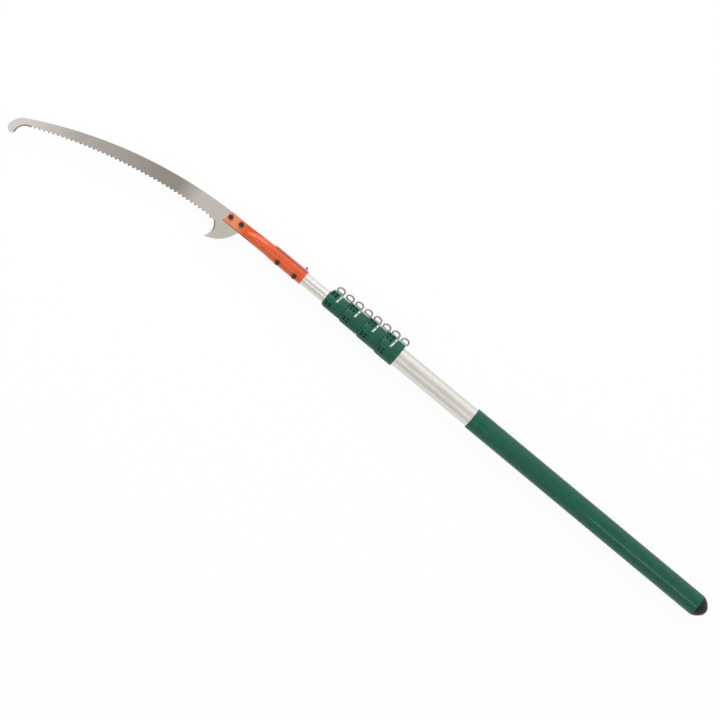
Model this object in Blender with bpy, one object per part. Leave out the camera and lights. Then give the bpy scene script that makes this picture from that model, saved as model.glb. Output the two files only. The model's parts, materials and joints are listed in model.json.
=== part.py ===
"""A telescopic pole saw with its pole closed: a curved saw blade with a hook at each end, a pressed
steel socket, five aluminium tubes that slide in one another, four nylon collars with lock pins,
a grip sleeve and an end plug.

Metres, +Z up. The origin is the middle of the butt's flat end, on the pole's axis. +X runs along
the pole to the blade, +Y is the side of the teeth, and -Y the side of the eyes and pull rings.
"""

import math

import bmesh
import bpy
from mathutils import Matrix, Vector

MM = 0.001

# Fits
GAP = 0.3 * MM  # between pieces that touch
SLIDE_PLAY = 0.3 * MM  # radial, between a tube and the next one in it
SCREW_PLAY = 0.3 * MM  # radial, round the shank of a screw or bolt

# Tubes, numbered from the outermost, which is held in the hand, to the one that carries the saw
TUBE_COUNT = 5
INNER_TUBE_RADIUS = 11.0 * MM
TUBE_WALL = 1.2 * MM
TUBE_LENGTH = 664.1 * MM
INNER_TUBE_BARE = 47.9 * MM  # between the last collar and the socket, closed
PLUG_LENGTH = 10 * MM
PLUG_FLANGE = 1.5 * MM
LOCK_STOPS = (180 * MM, 360 * MM, 540 * MM)  # how far a tube is drawn out where its pin finds a hole

# Collars: each is fixed on the front end of a tube and locks on the next tube
COLLAR_LENGTH = 38 * MM
COLLAR_SPACE = 0.4 * MM  # between two collars, closed
COLLAR_WALL = 2.4 * MM
COLLAR_SEAT = 21.6 * MM  # of the tube in its collar
COLLAR_NOSE = 4.5 * MM  # length of the tapered front end
COLLAR_NOSE_DROP = 2.2 * MM  # which brings it down to the next collar
LAST_NOSE_DROP = 3.2 * MM
COLLAR_NOSE_BULGE = 0.3 * MM
COLLAR_HEEL = 0.8 * MM  # round at the rear rim
COLLAR_LIP = 0.8 * MM  # wall of the lip that laps into the next collar
COLLAR_LAP = 1.0 * MM
RIDGE_HEIGHT = 4.0 * MM  # of the ridge whose groove holds the eye's and the ring's foot
RIDGE_EDGE = 1.4 * MM
RIDGE_SETBACK = 1.2 * MM  # from the collar's ends
RIDGE_BASE = 0.75  # share of the collar's radius, where the ridge's solid starts inside the band
RIDGE_RAKE = 0.35  # how much its front end leans back
REAR_RIDGE_TOP = 8.0 * MM  # width
REAR_RIDGE_FOOT = 17.0 * MM
RIDGE_BITE = 0.5 * MM  # how deep its sloped sides run into the band
FRONT_RIDGE_WIDTH = 17.0 * MM
SLOT_WIDTH = 3.0 * MM
SLOT_FLOOR = 4.2 * MM  # how far off the axis the slot between the bands ends
SLOT_LEAN = 7  # degrees, its floor ahead of its mouth
POCKET_LENGTH = 3.6 * MM
POCKET_WALL = 0.9 * MM  # left between a pocket and the bore or the pin's hole
POCKET_SETBACKS = (5.9 * MM, 13.0 * MM)  # of each column, from the front rim
POCKET_ROWS = (  # share of the collar's radius off the axis, width
    (-1.02, 1.9 * MM),
    (-0.64, 3.2 * MM),
    (0.34, 2.6 * MM),
    (0.59, 2.6 * MM),
)

# Fixing eyes and lock pins, which share one form of ring
EYE_FLOOR = 21.1 * MM  # of the first collar's groove, off the axis
EYE_FLOOR_STEP = 0.95 * MM  # from each collar to the next
EYE_SETBACK = 5.5 * MM  # of the fixing eye, from the collar's rear rim
EYE_HALF_LENGTH = 6.5 * MM  # to the middle of the wire
EYE_HALF_HEIGHT = 4.1 * MM
EYE_SQUARENESS = 0.6  # of its foot: 1 would leave it an ellipse
EYE_WIRE = 1.5 * MM  # radius
SHANK_RADIUS = 2.0 * MM
NECK_RADIUS = 1.6 * MM  # where the shank meets the ring
LEG_RADIUS = 0.8 * MM  # of the pin's key, which runs down from its ring into the slot
LEG_OFFSET = 0.6 * MM  # behind the middle of the ring's wire
LEG_DIP = 0.6 * MM  # below the collar's edge
PIN_TIP_RADIUS = 1.7 * MM
PIN_TIP_LENGTH = 0.6 * MM
PIN_FLANGE_RADIUS = 2.8 * MM
PIN_FLANGE = 0.8 * MM
PIN_TRAVEL = 2.5 * MM
SPRING_SOLID = 0.3 * MM  # height of the pin's spring, pressed flat
BUSH_WALL = 0.6 * MM

# Grip sleeve and end plug
SLEEVE_WALL = 1.7 * MM
SLEEVE_LENGTH = 490.1 * MM
CAP_LENGTH = 17.3 * MM
CAP_FACE_RADIUS = 5.5 * MM
CAP_BULGE = 2.2 * MM  # of its side, over a plain cone
CAP_STEP = 0.3 * MM  # of the cap's rim below the sleeve
CAP_SPIGOT = 20 * MM

# Socket: two pressed shells, drawn in to flat cheeks that hold the blade
SHEET = 0.9 * MM
SOCKET_LENGTH = 162.5 * MM
CHEEK_LENGTH = 41.9 * MM  # flat, in front of the nose
SEAM_LIFT = 0.2 * MM  # of each shell's edge above the middle plane
NOSE_LENGTH = 48 * MM  # over which the round part sinks to the cheek
NOSE_FULLNESS = 0.75  # 0.5 would round its side to an ellipse, 1 to a parabola
NOSE_END_BACK = -2.6 * MM  # where the round part ends on the cheek: its reach towards the back
NOSE_END_BELLY = 7.6 * MM
NOSE_END_MIDDLE = 5.0 * MM
CHEEK_FROM = 0.75  # share of the round part's height below which the edges lie on the blade
CHEEK_BACK = 9.3 * MM
CHEEK_BELLY = 11.5 * MM
CHEEK_SLANT = 0.2
NECK = 0.7 * MM  # how much narrower each side gets in front of the tube
LIP = 0.1 * MM
FLANGE = 1.1 * MM  # how far the far shell's edge shows past the near one's
FLANGE_RUNOUT = 8 * MM
PAD_RADIUS = 5.0 * MM  # of the flat pad pressed up under each clamp bolt's head and nut

# Bolts
BOLT_HEAD_ACROSS = 8.0 * MM
BOLT_HEAD_HEIGHT = 3.0 * MM
NUT_HEIGHT = 3.6 * MM
BOLT_END = 1.5 * MM  # past the nut
BLADE_BOLT_RADIUS = 2.5 * MM
BLADE_BOLT_SETBACKS = (5.5 * MM, 26.8 * MM)  # from the socket's front end
BLADE_BOLT_OFFSETS = (-0.8 * MM, -2.3 * MM)  # from the axis
CLAMP_BOLT_RADIUS = 2.0 * MM
CLAMP_BOLT_SETBACKS = (14.3 * MM, 49.9 * MM)  # from the socket's rear end
CLAMP_BOLT_OFFSET = 8.1 * MM  # from the axis, towards the belly
LOCK_SCREW_SETBACK = 7.2 * MM
LOCK_SCREW_ANGLE = 30  # degrees behind the seam
LOCK_SCREW_END = 20 * MM  # from the axis
LOCK_NUT_ACROSS = 7.0 * MM
LOCK_NUT_HEIGHT = 3.0 * MM

# Blade, from the middle of the front bolt's station on the axis
BLADE_THICKNESS = 1.3 * MM
BLADE_REACH = 360 * MM
BLADE_RISE = 87.0 * MM
BACK_SAG = 21.6 * MM
BLADE_ROOT = 33.6 * MM  # behind the front bolt
BLADE_BACK = 8.9 * MM
TOOTH_COUNT = 41
TOOTH_DEPTH = 3.2 * MM
TOOTH_LEAN = 0.6  # share of the pitch where the point lies, from the tip's side
TOOTH_SAG = 14.4 * MM
TOOTH_END = (31.5 * MM, 20.9 * MM)
LAST_TOOTH = (27.5 * MM, 22.4 * MM)  # a small one at the bark hook's throat
TIP_HOOK = (  # from the tip: the hook's side, its end, its point, its root, and the first tooth
    (20.4 * MM, 27.0 * MM),
    (11.0 * MM, 37.5 * MM),
    (4.8 * MM, 31.5 * MM),
    (-12.0 * MM, 9.2 * MM),
    (-13.5 * MM, 8.9 * MM),
)
TIP_ROUND = 4.7 * MM  # sag of each stretch of the hook's outline
TIP_HOOK_ROUND = 2.8 * MM
TIP_POINT_ROUND = 1.2 * MM
TIP_THROAT_SAG = 5.9 * MM
THROAT_START = (20.5 * MM, 20.3 * MM)  # of the bark hook
THROAT_SAG = 10.0 * MM
BARK_POINT = (17.8 * MM, 51.8 * MM)
BELLY_SAG = 9.0 * MM
BELLY_END = (-25.5 * MM, 10.6 * MM)
ROOT_BELLY = 6.0 * MM
ROOT_CORNER = 3.0 * MM
BACK_STRAIGHT = 2.4 * MM  # where the back's curve starts

HEAD_FACE = 0.97  # share of a bolt head's width that its round top face has
HEAD_CHAMFER = 0.06  # share of the width

ROUND_STEPS = 24
ARCH_STEPS = 6
NOSE_STEPS = 6
SMALL_STEPS = 12
EYE_STEPS = 14
WIRE_STEPS = 6
ALONG_X = (0, math.pi / 2, 0)
OUT_OF_COLLAR = (math.pi / 2, 0, 0)
SMOOTH_ANGLE = math.radians(35)

COLOURS = {
    "steel": ((0.50, 0.46, 0.43), 0.38, 1.0),
    "orange paint": ((0.80, 0.14, 0.04), 0.35, 0.0),
    "aluminium": ((0.78, 0.77, 0.75), 0.35, 1.0),
    "green nylon": ((0.025, 0.14, 0.085), 0.45, 0.0),
    "green vinyl": ((0.023, 0.11, 0.07), 0.5, 0.0),
    "black plastic": ((0.02, 0.02, 0.02), 0.45, 0.0),
    "grey steel": ((0.22, 0.21, 0.19), 0.4, 1.0),
    "dark steel": ((0.05, 0.035, 0.03), 0.45, 1.0),
    "zinc": ((0.55, 0.55, 0.56), 0.4, 1.0),
    "brass": ((0.55, 0.40, 0.16), 0.4, 1.0),
}


def tube_radius(number):
    return INNER_TUBE_RADIUS + (TUBE_COUNT - number) * (TUBE_WALL + SLIDE_PLAY)


def collar_radius(number):
    return tube_radius(number) + GAP + COLLAR_WALL


def ridge_top(number):
    return collar_radius(number) + RIDGE_HEIGHT


def eye_floor(number):
    """Where the groove's floor lies, on which the eye and the pin's bush stand."""
    return EYE_FLOOR - (number - 1) * EYE_FLOOR_STEP


COLLAR_PITCH = COLLAR_LENGTH + COLLAR_SPACE
LAST_COLLAR = TUBE_COUNT - 1
FIRST_TUBE_REAR = CAP_LENGTH + GAP
LOCK_SETBACK = EYE_SETBACK + COLLAR_PITCH / 2
LEG_PLACE = -EYE_HALF_LENGTH - LEG_OFFSET
SLOT_SLOPE = math.tan(math.radians(SLOT_LEAN))
SLOT_MIDDLE = LOCK_SETBACK + LEG_PLACE + SLOT_SLOPE * (RIDGE_HEIGHT - LEG_DIP) / 2
PIN_HOLE = SHANK_RADIUS + SCREW_PLAY + BUSH_WALL + GAP  # radius


def collar_rear(number):
    return FIRST_TUBE_REAR + TUBE_LENGTH - COLLAR_SEAT + (number - 1) * COLLAR_PITCH


SOCKET_REAR = collar_rear(LAST_COLLAR) + COLLAR_LENGTH + INNER_TUBE_BARE
SOCKET_FRONT = SOCKET_REAR + SOCKET_LENGTH
NOSE_START = SOCKET_FRONT - CHEEK_LENGTH - NOSE_LENGTH
GRIP_END = NOSE_START - FLANGE_RUNOUT
BLADE_ORIGIN = SOCKET_FRONT - BLADE_BOLT_SETBACKS[0]
SHELL_RADIUS = INNER_TUBE_RADIUS + GAP
CHEEK_LIFT = BLADE_THICKNESS / 2 + GAP
PAD_TOP = math.sqrt((SHELL_RADIUS + SHEET) ** 2 - (CLAMP_BOLT_OFFSET - PAD_RADIUS) ** 2)


# Building blocks


def clear_scene():
    for thing in list(bpy.data.objects):
        bpy.data.objects.remove(thing, do_unlink=True)


def paint(thing, finish):
    colour, roughness, metallic = COLOURS[finish]
    material = bpy.data.materials.new(thing.name)
    material.use_nodes = True
    shader = material.node_tree.nodes["Principled BSDF"]
    shader.inputs["Base Color"].default_value = (*colour, 1)
    shader.inputs["Roughness"].default_value = roughness
    shader.inputs["Metallic"].default_value = metallic
    thing.data.materials.append(material)


def shade(mesh):
    mesh.shade_smooth()
    mesh.set_sharp_from_angle(angle=SMOOTH_ANGLE)


def placed(name, bm, finish, carrier=None, location=(0, 0, 0), rotation=(0, 0, 0)):
    """Makes an object of the mesh, at its place, carried by the empty of its section."""
    bmesh.ops.recalc_face_normals(bm, faces=bm.faces)
    mesh = bpy.data.meshes.new(name)
    bm.to_mesh(mesh)
    bm.free()
    shade(mesh)
    thing = bpy.data.objects.new(name, mesh)
    bpy.context.collection.objects.link(thing)
    thing.location = location
    thing.rotation_euler = rotation
    if carrier:
        thing.parent = carrier
        thing.matrix_parent_inverse = Matrix.Translation(-carrier.location)
    if finish:
        paint(thing, finish)
    return thing


def combine(thing, tool, operation):
    """Cuts the tool out of an object or joins it, and keeps the plain mesh that this gives."""
    modifier = thing.modifiers.new(operation.lower(), "BOOLEAN")
    modifier.operation = operation
    modifier.solver = "EXACT"
    modifier.object = tool
    bpy.context.view_layer.update()
    seen = thing.evaluated_get(bpy.context.evaluated_depsgraph_get())
    thing.data = bpy.data.meshes.new_from_object(seen)
    thing.modifiers.clear()
    bpy.data.objects.remove(tool, do_unlink=True)
    shade(thing.data)


def skin(bm, rings, closed):
    """Joins rings of points with faces. A closed skin joins the last to the first, an open one is capped."""
    made = [[bm.verts.new(point) for point in ring] for ring in rings]
    count = len(made[0])
    pairs = list(zip(made, made[1:]))
    if closed:
        pairs.append((made[-1], made[0]))
    for first, second in pairs:
        for i in range(count):
            j = (i + 1) % count
            bm.faces.new((first[i], first[j], second[j], second[i]))
    if not closed:
        bm.faces.new(made[0])
        bm.faces.new(made[-1])


def circle(radius, height, steps):
    """A ring of points round local Z, none of them on the middle planes, where holes are drilled."""
    angles = [2 * math.pi * (i + 0.5) / steps for i in range(steps)]
    return [Vector((radius * math.cos(a), radius * math.sin(a), height)) for a in angles]


def turn(bm, profile, steps, closed):
    """A turned solid round local Z, from (height, radius) pairs."""
    skin(bm, [circle(radius, height, steps) for height, radius in profile], closed)


def quarter(start, middle_side, sweep_from, radii, steps):
    """Points of a quarter ellipse: start is its centre, radii its half sizes, sweep_from in degrees."""
    points = []
    for i in range(steps + 1):
        angle = math.radians(sweep_from + middle_side * 90 * i / steps)
        points.append((start[0] + radii[0] * math.cos(angle), start[1] + radii[1] * math.sin(angle)))
    return points


def tube_profile(front, rear, outer, inner):
    return [(rear, outer), (front, outer), (front, inner), (rear, inner)]


def add_rod(bm, radius, base, direction, length, steps=SMALL_STEPS):
    """A round rod from its base, as a separate solid of the mesh."""
    turned = Vector(direction).to_track_quat("Z", "Y").to_matrix().to_4x4()
    place = Matrix.Translation(Vector(base) + Vector(direction).normalized() * length / 2) @ turned
    bmesh.ops.create_cone(
        bm, cap_ends=True, segments=steps, radius1=radius, radius2=radius, depth=length, matrix=place
    )


def add_box(bm, place, size):
    bmesh.ops.create_cube(bm, size=1, matrix=place @ Matrix.Diagonal((*size, 1)))


def arc(start, end, sag, steps):
    """Points of a circular arc from start to end, without its start. A positive sag bulges to the right."""
    start = Vector(start)
    end = Vector(end)
    chord = end - start
    half = chord.length / 2
    right = Vector((chord.y, -chord.x)).normalized()
    radius = (half * half + sag * sag) / (2 * sag)
    centre = (start + end) / 2 + right * (sag - radius)
    reach = math.asin(half / radius)
    forward = chord.normalized()
    points = []
    for i in range(1, steps + 1):
        angle = -reach + 2 * reach * i / steps
        points.append(centre + right * radius * math.cos(angle) + forward * radius * math.sin(angle))
    return points


# Tubes


def tube_rear(number):
    return FIRST_TUBE_REAR + (number - 1) * COLLAR_PITCH


def tube_front(number):
    if number == TUBE_COUNT:
        return GRIP_END - 2 * GAP
    return tube_rear(number) + TUBE_LENGTH


def make_tube(number, carrier):
    radius = tube_radius(number)
    bm = bmesh.new()
    profile = tube_profile(tube_front(number), tube_rear(number), radius, radius - TUBE_WALL)
    turn(bm, profile, ROUND_STEPS, True)
    tube = placed(f"tube_{number}", bm, "aluminium", carrier, rotation=ALONG_X)
    drill = bmesh.new()
    if number == TUBE_COUNT:
        for setback in CLAMP_BOLT_SETBACKS:
            base = (SOCKET_REAR + setback, CLAMP_BOLT_OFFSET, -radius)
            add_rod(drill, CLAMP_BOLT_RADIUS + SCREW_PLAY, base, (0, 0, 1), 2 * radius)
    else:
        base = (collar_rear(number) + EYE_SETBACK, -radius / 2, 0)
        add_rod(drill, SHANK_RADIUS + SCREW_PLAY, base, (0, -1, 0), radius)
    if number > 1:
        for stop in LOCK_STOPS:
            base = (collar_rear(number - 1) + LOCK_SETBACK - stop, -radius / 2, 0)
            add_rod(drill, PIN_TIP_RADIUS + SCREW_PLAY, base, (0, -1, 0), radius)
    combine(tube, placed(f"tube_{number}_drill", drill, None), "DIFFERENCE")


def make_plug(number, carrier):
    """Closes a sliding tube's rear end."""
    radius = tube_radius(number)
    spigot = radius - TUBE_WALL - GAP
    seat = tube_rear(number) - GAP
    profile = [(seat - PLUG_FLANGE, radius), (seat, radius), (seat, spigot), (seat + PLUG_LENGTH, spigot)]
    bm = bmesh.new()
    turn(bm, profile, ROUND_STEPS, False)
    placed(f"tube_plug_{number}", bm, "black plastic", carrier, rotation=ALONG_X)


# Collars


def collar_profile(number):
    outer = collar_radius(number)
    heel = quarter((COLLAR_HEEL, outer - COLLAR_HEEL), -1, 180, (COLLAR_HEEL, COLLAR_HEEL), 1)
    nose = (COLLAR_LENGTH - COLLAR_NOSE, outer)
    drop = LAST_NOSE_DROP if number == LAST_COLLAR else COLLAR_NOSE_DROP
    profile = heel + [nose, *arc(nose, (COLLAR_LENGTH, outer - drop), -COLLAR_NOSE_BULGE, 3)]
    if number < LAST_COLLAR:
        lip = tube_radius(number + 1) + GAP + COLLAR_LIP
        profile += [(COLLAR_LENGTH, lip), (COLLAR_LENGTH + COLLAR_LAP, lip)]
    return profile


def collar_bore(number, place):
    """The seat of the collar's own tube, then the narrower way of the next one.

    All but the first collar open with a counterbore for the lip of the collar behind.
    """
    seat = tube_radius(number) + GAP
    way = tube_radius(number + 1) + GAP
    shoulder = COLLAR_SEAT + GAP
    profile = [(-COLLAR_WALL, seat), (shoulder, seat), (shoulder, way), (COLLAR_LENGTH + COLLAR_WALL, way)]
    if number > 1:
        counter = seat + COLLAR_LIP + GAP
        depth = COLLAR_LAP - COLLAR_SPACE + GAP
        profile[:1] = [(-COLLAR_WALL, counter), (depth, counter), (depth, seat)]
    bm = bmesh.new()
    turn(bm, profile, ROUND_STEPS, False)
    return placed(f"collar_{number}_bore", bm, None, None, place, ALONG_X)


def collar_ridge(number):
    """A ridge along the eye side: sloped over the rear band, with upright sides over the front one."""
    rear = collar_rear(number)
    outer = collar_radius(number)
    base = outer * RIDGE_BASE
    top = ridge_top(number)
    slot = rear + SLOT_MIDDLE
    foot = REAR_RIDGE_FOOT / 2
    side = FRONT_RIDGE_WIDTH / 2
    slope_start = math.sqrt(outer * outer - foot * foot) - RIDGE_BITE
    sloped = [(foot, base), (foot, slope_start), (REAR_RIDGE_TOP / 2, top)]
    upright = [(side, base), (side, top - RIDGE_EDGE), (side - RIDGE_EDGE, top)]
    stretches = (
        (sloped, rear + RIDGE_SETBACK, slot, 0),
        (upright, slot, rear + COLLAR_LENGTH - RIDGE_SETBACK, RIDGE_RAKE),
    )
    ridges = []
    for half, start, end, rake in stretches:
        section = half + [(-z, height) for z, height in half[::-1]]
        rings = [
            [Vector((start, -height, z)) for z, height in section],
            [Vector((end - rake * (height - base), -height, z)) for z, height in section],
        ]
        bm = bmesh.new()
        skin(bm, rings, False)
        ridges.append(placed(f"collar_{number}_ridge", bm, None))
    return ridges


def ridge_groove(number):
    """Runs along the whole ridge, down to the floor that the eye and the ring stand on."""
    floor = eye_floor(number)
    depth = ridge_top(number) + COLLAR_WALL - floor
    middle = (collar_rear(number) + COLLAR_LENGTH / 2, -floor - depth / 2, 0)
    bm = bmesh.new()
    add_box(bm, Matrix.Translation(middle), (COLLAR_LENGTH, depth, 2 * EYE_WIRE + 2 * GAP))
    return placed(f"collar_{number}_groove", bm, None)


def pocket_rows(number):
    """Each row of pockets: its place off the axis, its width and its floor's distance from the middle plane."""
    outer = collar_radius(number)
    bore = tube_radius(number + 1) + GAP + POCKET_WALL
    rows = []
    for share, width in POCKET_ROWS:
        inner = abs(share) * outer - width / 2
        over_bore = math.sqrt(max(0, bore * bore - inner * inner))
        rows.append((share * outer, width, max(over_bore, PIN_HOLE + POCKET_WALL)))
    return rows


def collar_cuts(number):
    """The slot between the bands, the cored pockets of the front band and the holes of eye and pin."""
    rear = collar_rear(number)
    outer = collar_radius(number)
    reach = ridge_top(number) + COLLAR_WALL
    bm = bmesh.new()
    mouth = Matrix.Translation((rear + SLOT_MIDDLE, -outer, 0))
    turned = Matrix.Rotation(math.radians(-SLOT_LEAN), 4, "Z")
    depth = (outer - SLOT_FLOOR) / math.cos(math.radians(SLOT_LEAN))
    above = reach - outer
    slot = mouth @ turned @ Matrix.Translation((0, (depth - above) / 2, 0))
    add_box(bm, slot, (SLOT_WIDTH, depth + above, 2 * reach))
    for offset, width, floor in pocket_rows(number):
        drift = SLOT_SLOPE * (offset + outer) if offset < 0 else 0
        for setback in POCKET_SETBACKS:
            for side in (1, -1):
                middle = (rear + COLLAR_LENGTH - setback + drift, offset, side * (floor + reach) / 2)
                add_box(bm, Matrix.Translation(middle), (POCKET_LENGTH, width, reach - floor))
    add_rod(bm, SHANK_RADIUS + SCREW_PLAY, (rear + EYE_SETBACK, -outer / 2, 0), (0, -1, 0), outer)
    add_rod(bm, PIN_HOLE, (rear + LOCK_SETBACK, -outer / 2, 0), (0, -1, 0), outer)
    return placed(f"collar_{number}_cuts", bm, None)


def make_collar(number, carrier):
    bm = bmesh.new()
    turn(bm, collar_profile(number), ROUND_STEPS, False)
    place = (collar_rear(number), 0, 0)
    collar = placed(f"collar_{number}", bm, "green nylon", carrier, place, ALONG_X)
    for ridge in collar_ridge(number):
        combine(collar, ridge, "UNION")
    combine(collar, collar_bore(number, place), "DIFFERENCE")
    combine(collar, ridge_groove(number), "DIFFERENCE")
    combine(collar, collar_cuts(number), "DIFFERENCE")


# Fixing eyes and lock pins


def eye_middle(number):
    """Height above the axis of the middle of an eye that stands in the ridge's groove."""
    return eye_floor(number) + GAP + EYE_WIRE + EYE_HALF_HEIGHT


def eye_point(step):
    """A point on the eye's path from its middle: an oval above, squarer where it stands on its foot."""
    angle = 2 * math.pi * step / EYE_STEPS
    across = math.cos(angle)
    up = math.sin(angle)
    if up < 0:
        across = math.copysign(abs(across) ** EYE_SQUARENESS, across)
        up = -(abs(up) ** EYE_SQUARENESS)
    return Vector((EYE_HALF_LENGTH * across, 0, EYE_HALF_HEIGHT * up))


def eye_ring(middle):
    """Rings of points of a wire eye round local Y, at a height above the pole's axis."""
    rings = []
    for i in range(EYE_STEPS):
        on_path = eye_point(i) + Vector((0, 0, middle))
        along = (eye_point(i + 1) - eye_point(i - 1)).normalized()
        outward = Vector((along.z, 0, -along.x))
        ring = []
        for j in range(WIRE_STEPS):
            turned = 2 * math.pi * j / WIRE_STEPS
            offset = outward * math.cos(turned) + Vector((0, 1, 0)) * math.sin(turned)
            ring.append(on_path + offset * EYE_WIRE)
        rings.append(ring)
    return rings


def make_eye(name, number, setback, shank, carrier):
    """An oval wire eye on a shank that points at the pole's axis, with its own axis on local Z."""
    middle = eye_middle(number)
    place = (collar_rear(number) + setback, 0, 0)
    bm = bmesh.new()
    skin(bm, eye_ring(middle), True)
    eye = placed(name, bm, "grey steel", carrier, place, OUT_OF_COLLAR)
    neck = [(eye_floor(number) + GAP, SHANK_RADIUS), (middle - EYE_HALF_HEIGHT, NECK_RADIUS)]
    bm = bmesh.new()
    turn(bm, shank + neck, SMALL_STEPS, False)
    combine(eye, placed(name + "_shank", bm, None, None, place, OUT_OF_COLLAR), "UNION")
    return eye


def make_fixing_eye(number, carrier):
    """Holds the collar on its own tube: its tip ends in the tube's wall."""
    tip = tube_radius(number) - TUBE_WALL + GAP
    make_eye(f"fixing_eye_{number}", number, EYE_SETBACK, [(tip, SHANK_RADIUS)], carrier)


def make_lock_pin(number, carrier):
    """A sprung pin on the next tube, pulled by its ring, and the bush that keeps it in the collar."""
    name = f"lock_pin_{number}"
    place = (collar_rear(number) + LOCK_SETBACK, 0, 0)
    tip = tube_radius(number + 1) + GAP
    flange = tip + PIN_TIP_LENGTH
    flange_top = flange + PIN_FLANGE
    shank = [(tip, PIN_TIP_RADIUS), (flange, PIN_TIP_RADIUS), (flange, PIN_FLANGE_RADIUS)]
    shank += [(flange_top, PIN_FLANGE_RADIUS), (flange_top, SHANK_RADIUS)]
    pin = make_eye(name, number, LOCK_SETBACK, shank, carrier)
    low = collar_radius(number) - LEG_DIP
    leg = bmesh.new()
    add_rod(leg, LEG_RADIUS, (LEG_PLACE, 0, low), (0, 0, 1), eye_middle(number) - low, 8)
    combine(pin, placed(name + "_leg", leg, None, None, place, OUT_OF_COLLAR), "UNION")
    bore = SHANK_RADIUS + SCREW_PLAY
    foot = flange_top + PIN_TRAVEL + SPRING_SOLID
    bush = bmesh.new()
    turn(bush, tube_profile(eye_floor(number), foot, bore + BUSH_WALL, bore), SMALL_STEPS, True)
    placed(f"pin_bush_{number}", bush, "brass", carrier, place, OUT_OF_COLLAR)


# Grip


def make_sleeve(carrier):
    bore = tube_radius(1) + GAP
    bm = bmesh.new()
    profile = tube_profile(FIRST_TUBE_REAR + SLEEVE_LENGTH, FIRST_TUBE_REAR, bore + SLEEVE_WALL, bore)
    turn(bm, profile, ROUND_STEPS, True)
    placed("grip_sleeve", bm, "green vinyl", carrier, rotation=ALONG_X)


def make_end_cap(carrier):
    """A blunt cone with a full side, and a spigot in the grip tube."""
    rim = tube_radius(1) + GAP + SLEEVE_WALL - CAP_STEP
    spigot = tube_radius(1) - TUBE_WALL - GAP
    face = (0, CAP_FACE_RADIUS)
    profile = [face, *arc(face, (CAP_LENGTH, rim), -CAP_BULGE, 5)]
    profile += [(CAP_LENGTH, spigot), (CAP_LENGTH + CAP_SPIGOT, spigot)]
    bm = bmesh.new()
    turn(bm, profile, ROUND_STEPS, False)
    placed("end_cap", bm, "black plastic", carrier, rotation=ALONG_X)


# Socket


def socket_stations():
    """Where the shells are drawn, from the rear: station, and how far along the nose it lies."""
    stations = [(SOCKET_REAR, 0), (GRIP_END, 0), (NOSE_START, 0)]
    for i in range(1, NOSE_STEPS + 1):
        along = math.sin(math.pi / 2 * i / NOSE_STEPS)
        stations.append((NOSE_START + NOSE_LENGTH * along, along))
    stations.append((SOCKET_FRONT, 1))
    return stations


def blend(a, b, share):
    return a + (b - a) * share


def shell_line(station, along, flange, thickness):
    """One surface of a shell: points across the station, from the back's edge to the belly's.

    The round part's reach to either side shrinks along the nose as an ellipse does, and its middle
    moves towards the belly, so that it ends in a point on the belly's half of the cheek.
    """
    neck = NECK if station > GRIP_END else 0
    half = SHELL_RADIUS + SHEET - neck
    back = blend(half + LIP, CHEEK_BACK, along)
    belly = blend(half + LIP, CHEEK_BELLY, along)
    left = math.sqrt(1 - along * along)
    share = left ** (2 * NOSE_FULLNESS)
    reach_back = blend(NOSE_END_BACK, back - LIP, left) - SHEET + thickness
    reach_belly = blend(NOSE_END_BELLY, belly - LIP, left) - SHEET + thickness
    middle = blend(NOSE_END_MIDDLE, 0, left)
    lift = SEAM_LIFT if share > CHEEK_FROM else CHEEK_LIFT
    foot = lift + thickness
    height = (SHELL_RADIUS - SEAM_LIFT) * share
    rise = quarter((middle, foot), -1, 180, (reach_back + middle, height), ARCH_STEPS)
    fall = quarter((middle, foot), -1, 90, (reach_belly - middle, height), ARCH_STEPS)
    line = [(-back - flange, foot), *rise, *fall[1:], (belly, foot)]
    slant = CHEEK_SLANT if station == SOCKET_FRONT else 0
    return [(station + slant * y, y, z) for y, z in line]


def make_shell(name, side, flange, carrier):
    """A pressed shell: its outer and inner surfaces, joined round the edge. side is 1 near, -1 far."""
    bm = bmesh.new()
    rings = []
    for station, along in socket_stations():
        extra = flange if station <= GRIP_END else 0
        outer = shell_line(station, along, extra, SHEET)
        inner = shell_line(station, along, extra, 0)
        rings.append([Vector((x, y, side * z)) for x, y, z in outer + inner[::-1]])
    skin_sheet(bm, rings)
    shell = placed(name, bm, "orange paint", carrier)
    press_pads(shell, side)
    combine(shell, socket_drill(name, side), "DIFFERENCE")


def pad_rods(name, side, radius, base, top):
    bm = bmesh.new()
    for x, y in clamp_bolt_places():
        add_rod(bm, radius, (x, y, side * base), (0, 0, side), top - base)
    return placed(name, bm, None)


def press_pads(shell, side):
    """Presses a flat pad up out of the sheet under each clamp bolt, hollow inside."""
    pads = pad_rods("pads", side, PAD_RADIUS, SEAM_LIFT, PAD_TOP)
    room = bmesh.new()
    in_sheet = SHELL_RADIUS + SHEET / 2
    add_rod(room, in_sheet, (SOCKET_REAR, 0, 0), (1, 0, 0), GRIP_END - SOCKET_REAR, ROUND_STEPS)
    combine(pads, placed("room", room, None), "DIFFERENCE")
    combine(shell, pads, "UNION")
    combine(shell, pad_rods("hollows", side, PAD_RADIUS - SHEET, 0, PAD_TOP - SHEET), "DIFFERENCE")


def skin_sheet(bm, rings):
    """Joins rings of a thin sheet, and closes both ends across the sheet's thickness."""
    made = [[bm.verts.new(point) for point in ring] for ring in rings]
    count = len(made[0])
    for first, second in zip(made, made[1:]):
        for i in range(count):
            j = (i + 1) % count
            bm.faces.new((first[i], first[j], second[j], second[i]))
    for ring in (made[0], made[-1]):
        for i in range(count // 2 - 1):
            bm.faces.new((ring[i], ring[i + 1], ring[count - 2 - i], ring[count - 1 - i]))


def blade_bolt_places():
    return [
        (SOCKET_FRONT - setback, offset) for setback, offset in zip(BLADE_BOLT_SETBACKS, BLADE_BOLT_OFFSETS)
    ]


def clamp_bolt_places():
    return [(SOCKET_REAR + setback, CLAMP_BOLT_OFFSET) for setback in CLAMP_BOLT_SETBACKS]


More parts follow.
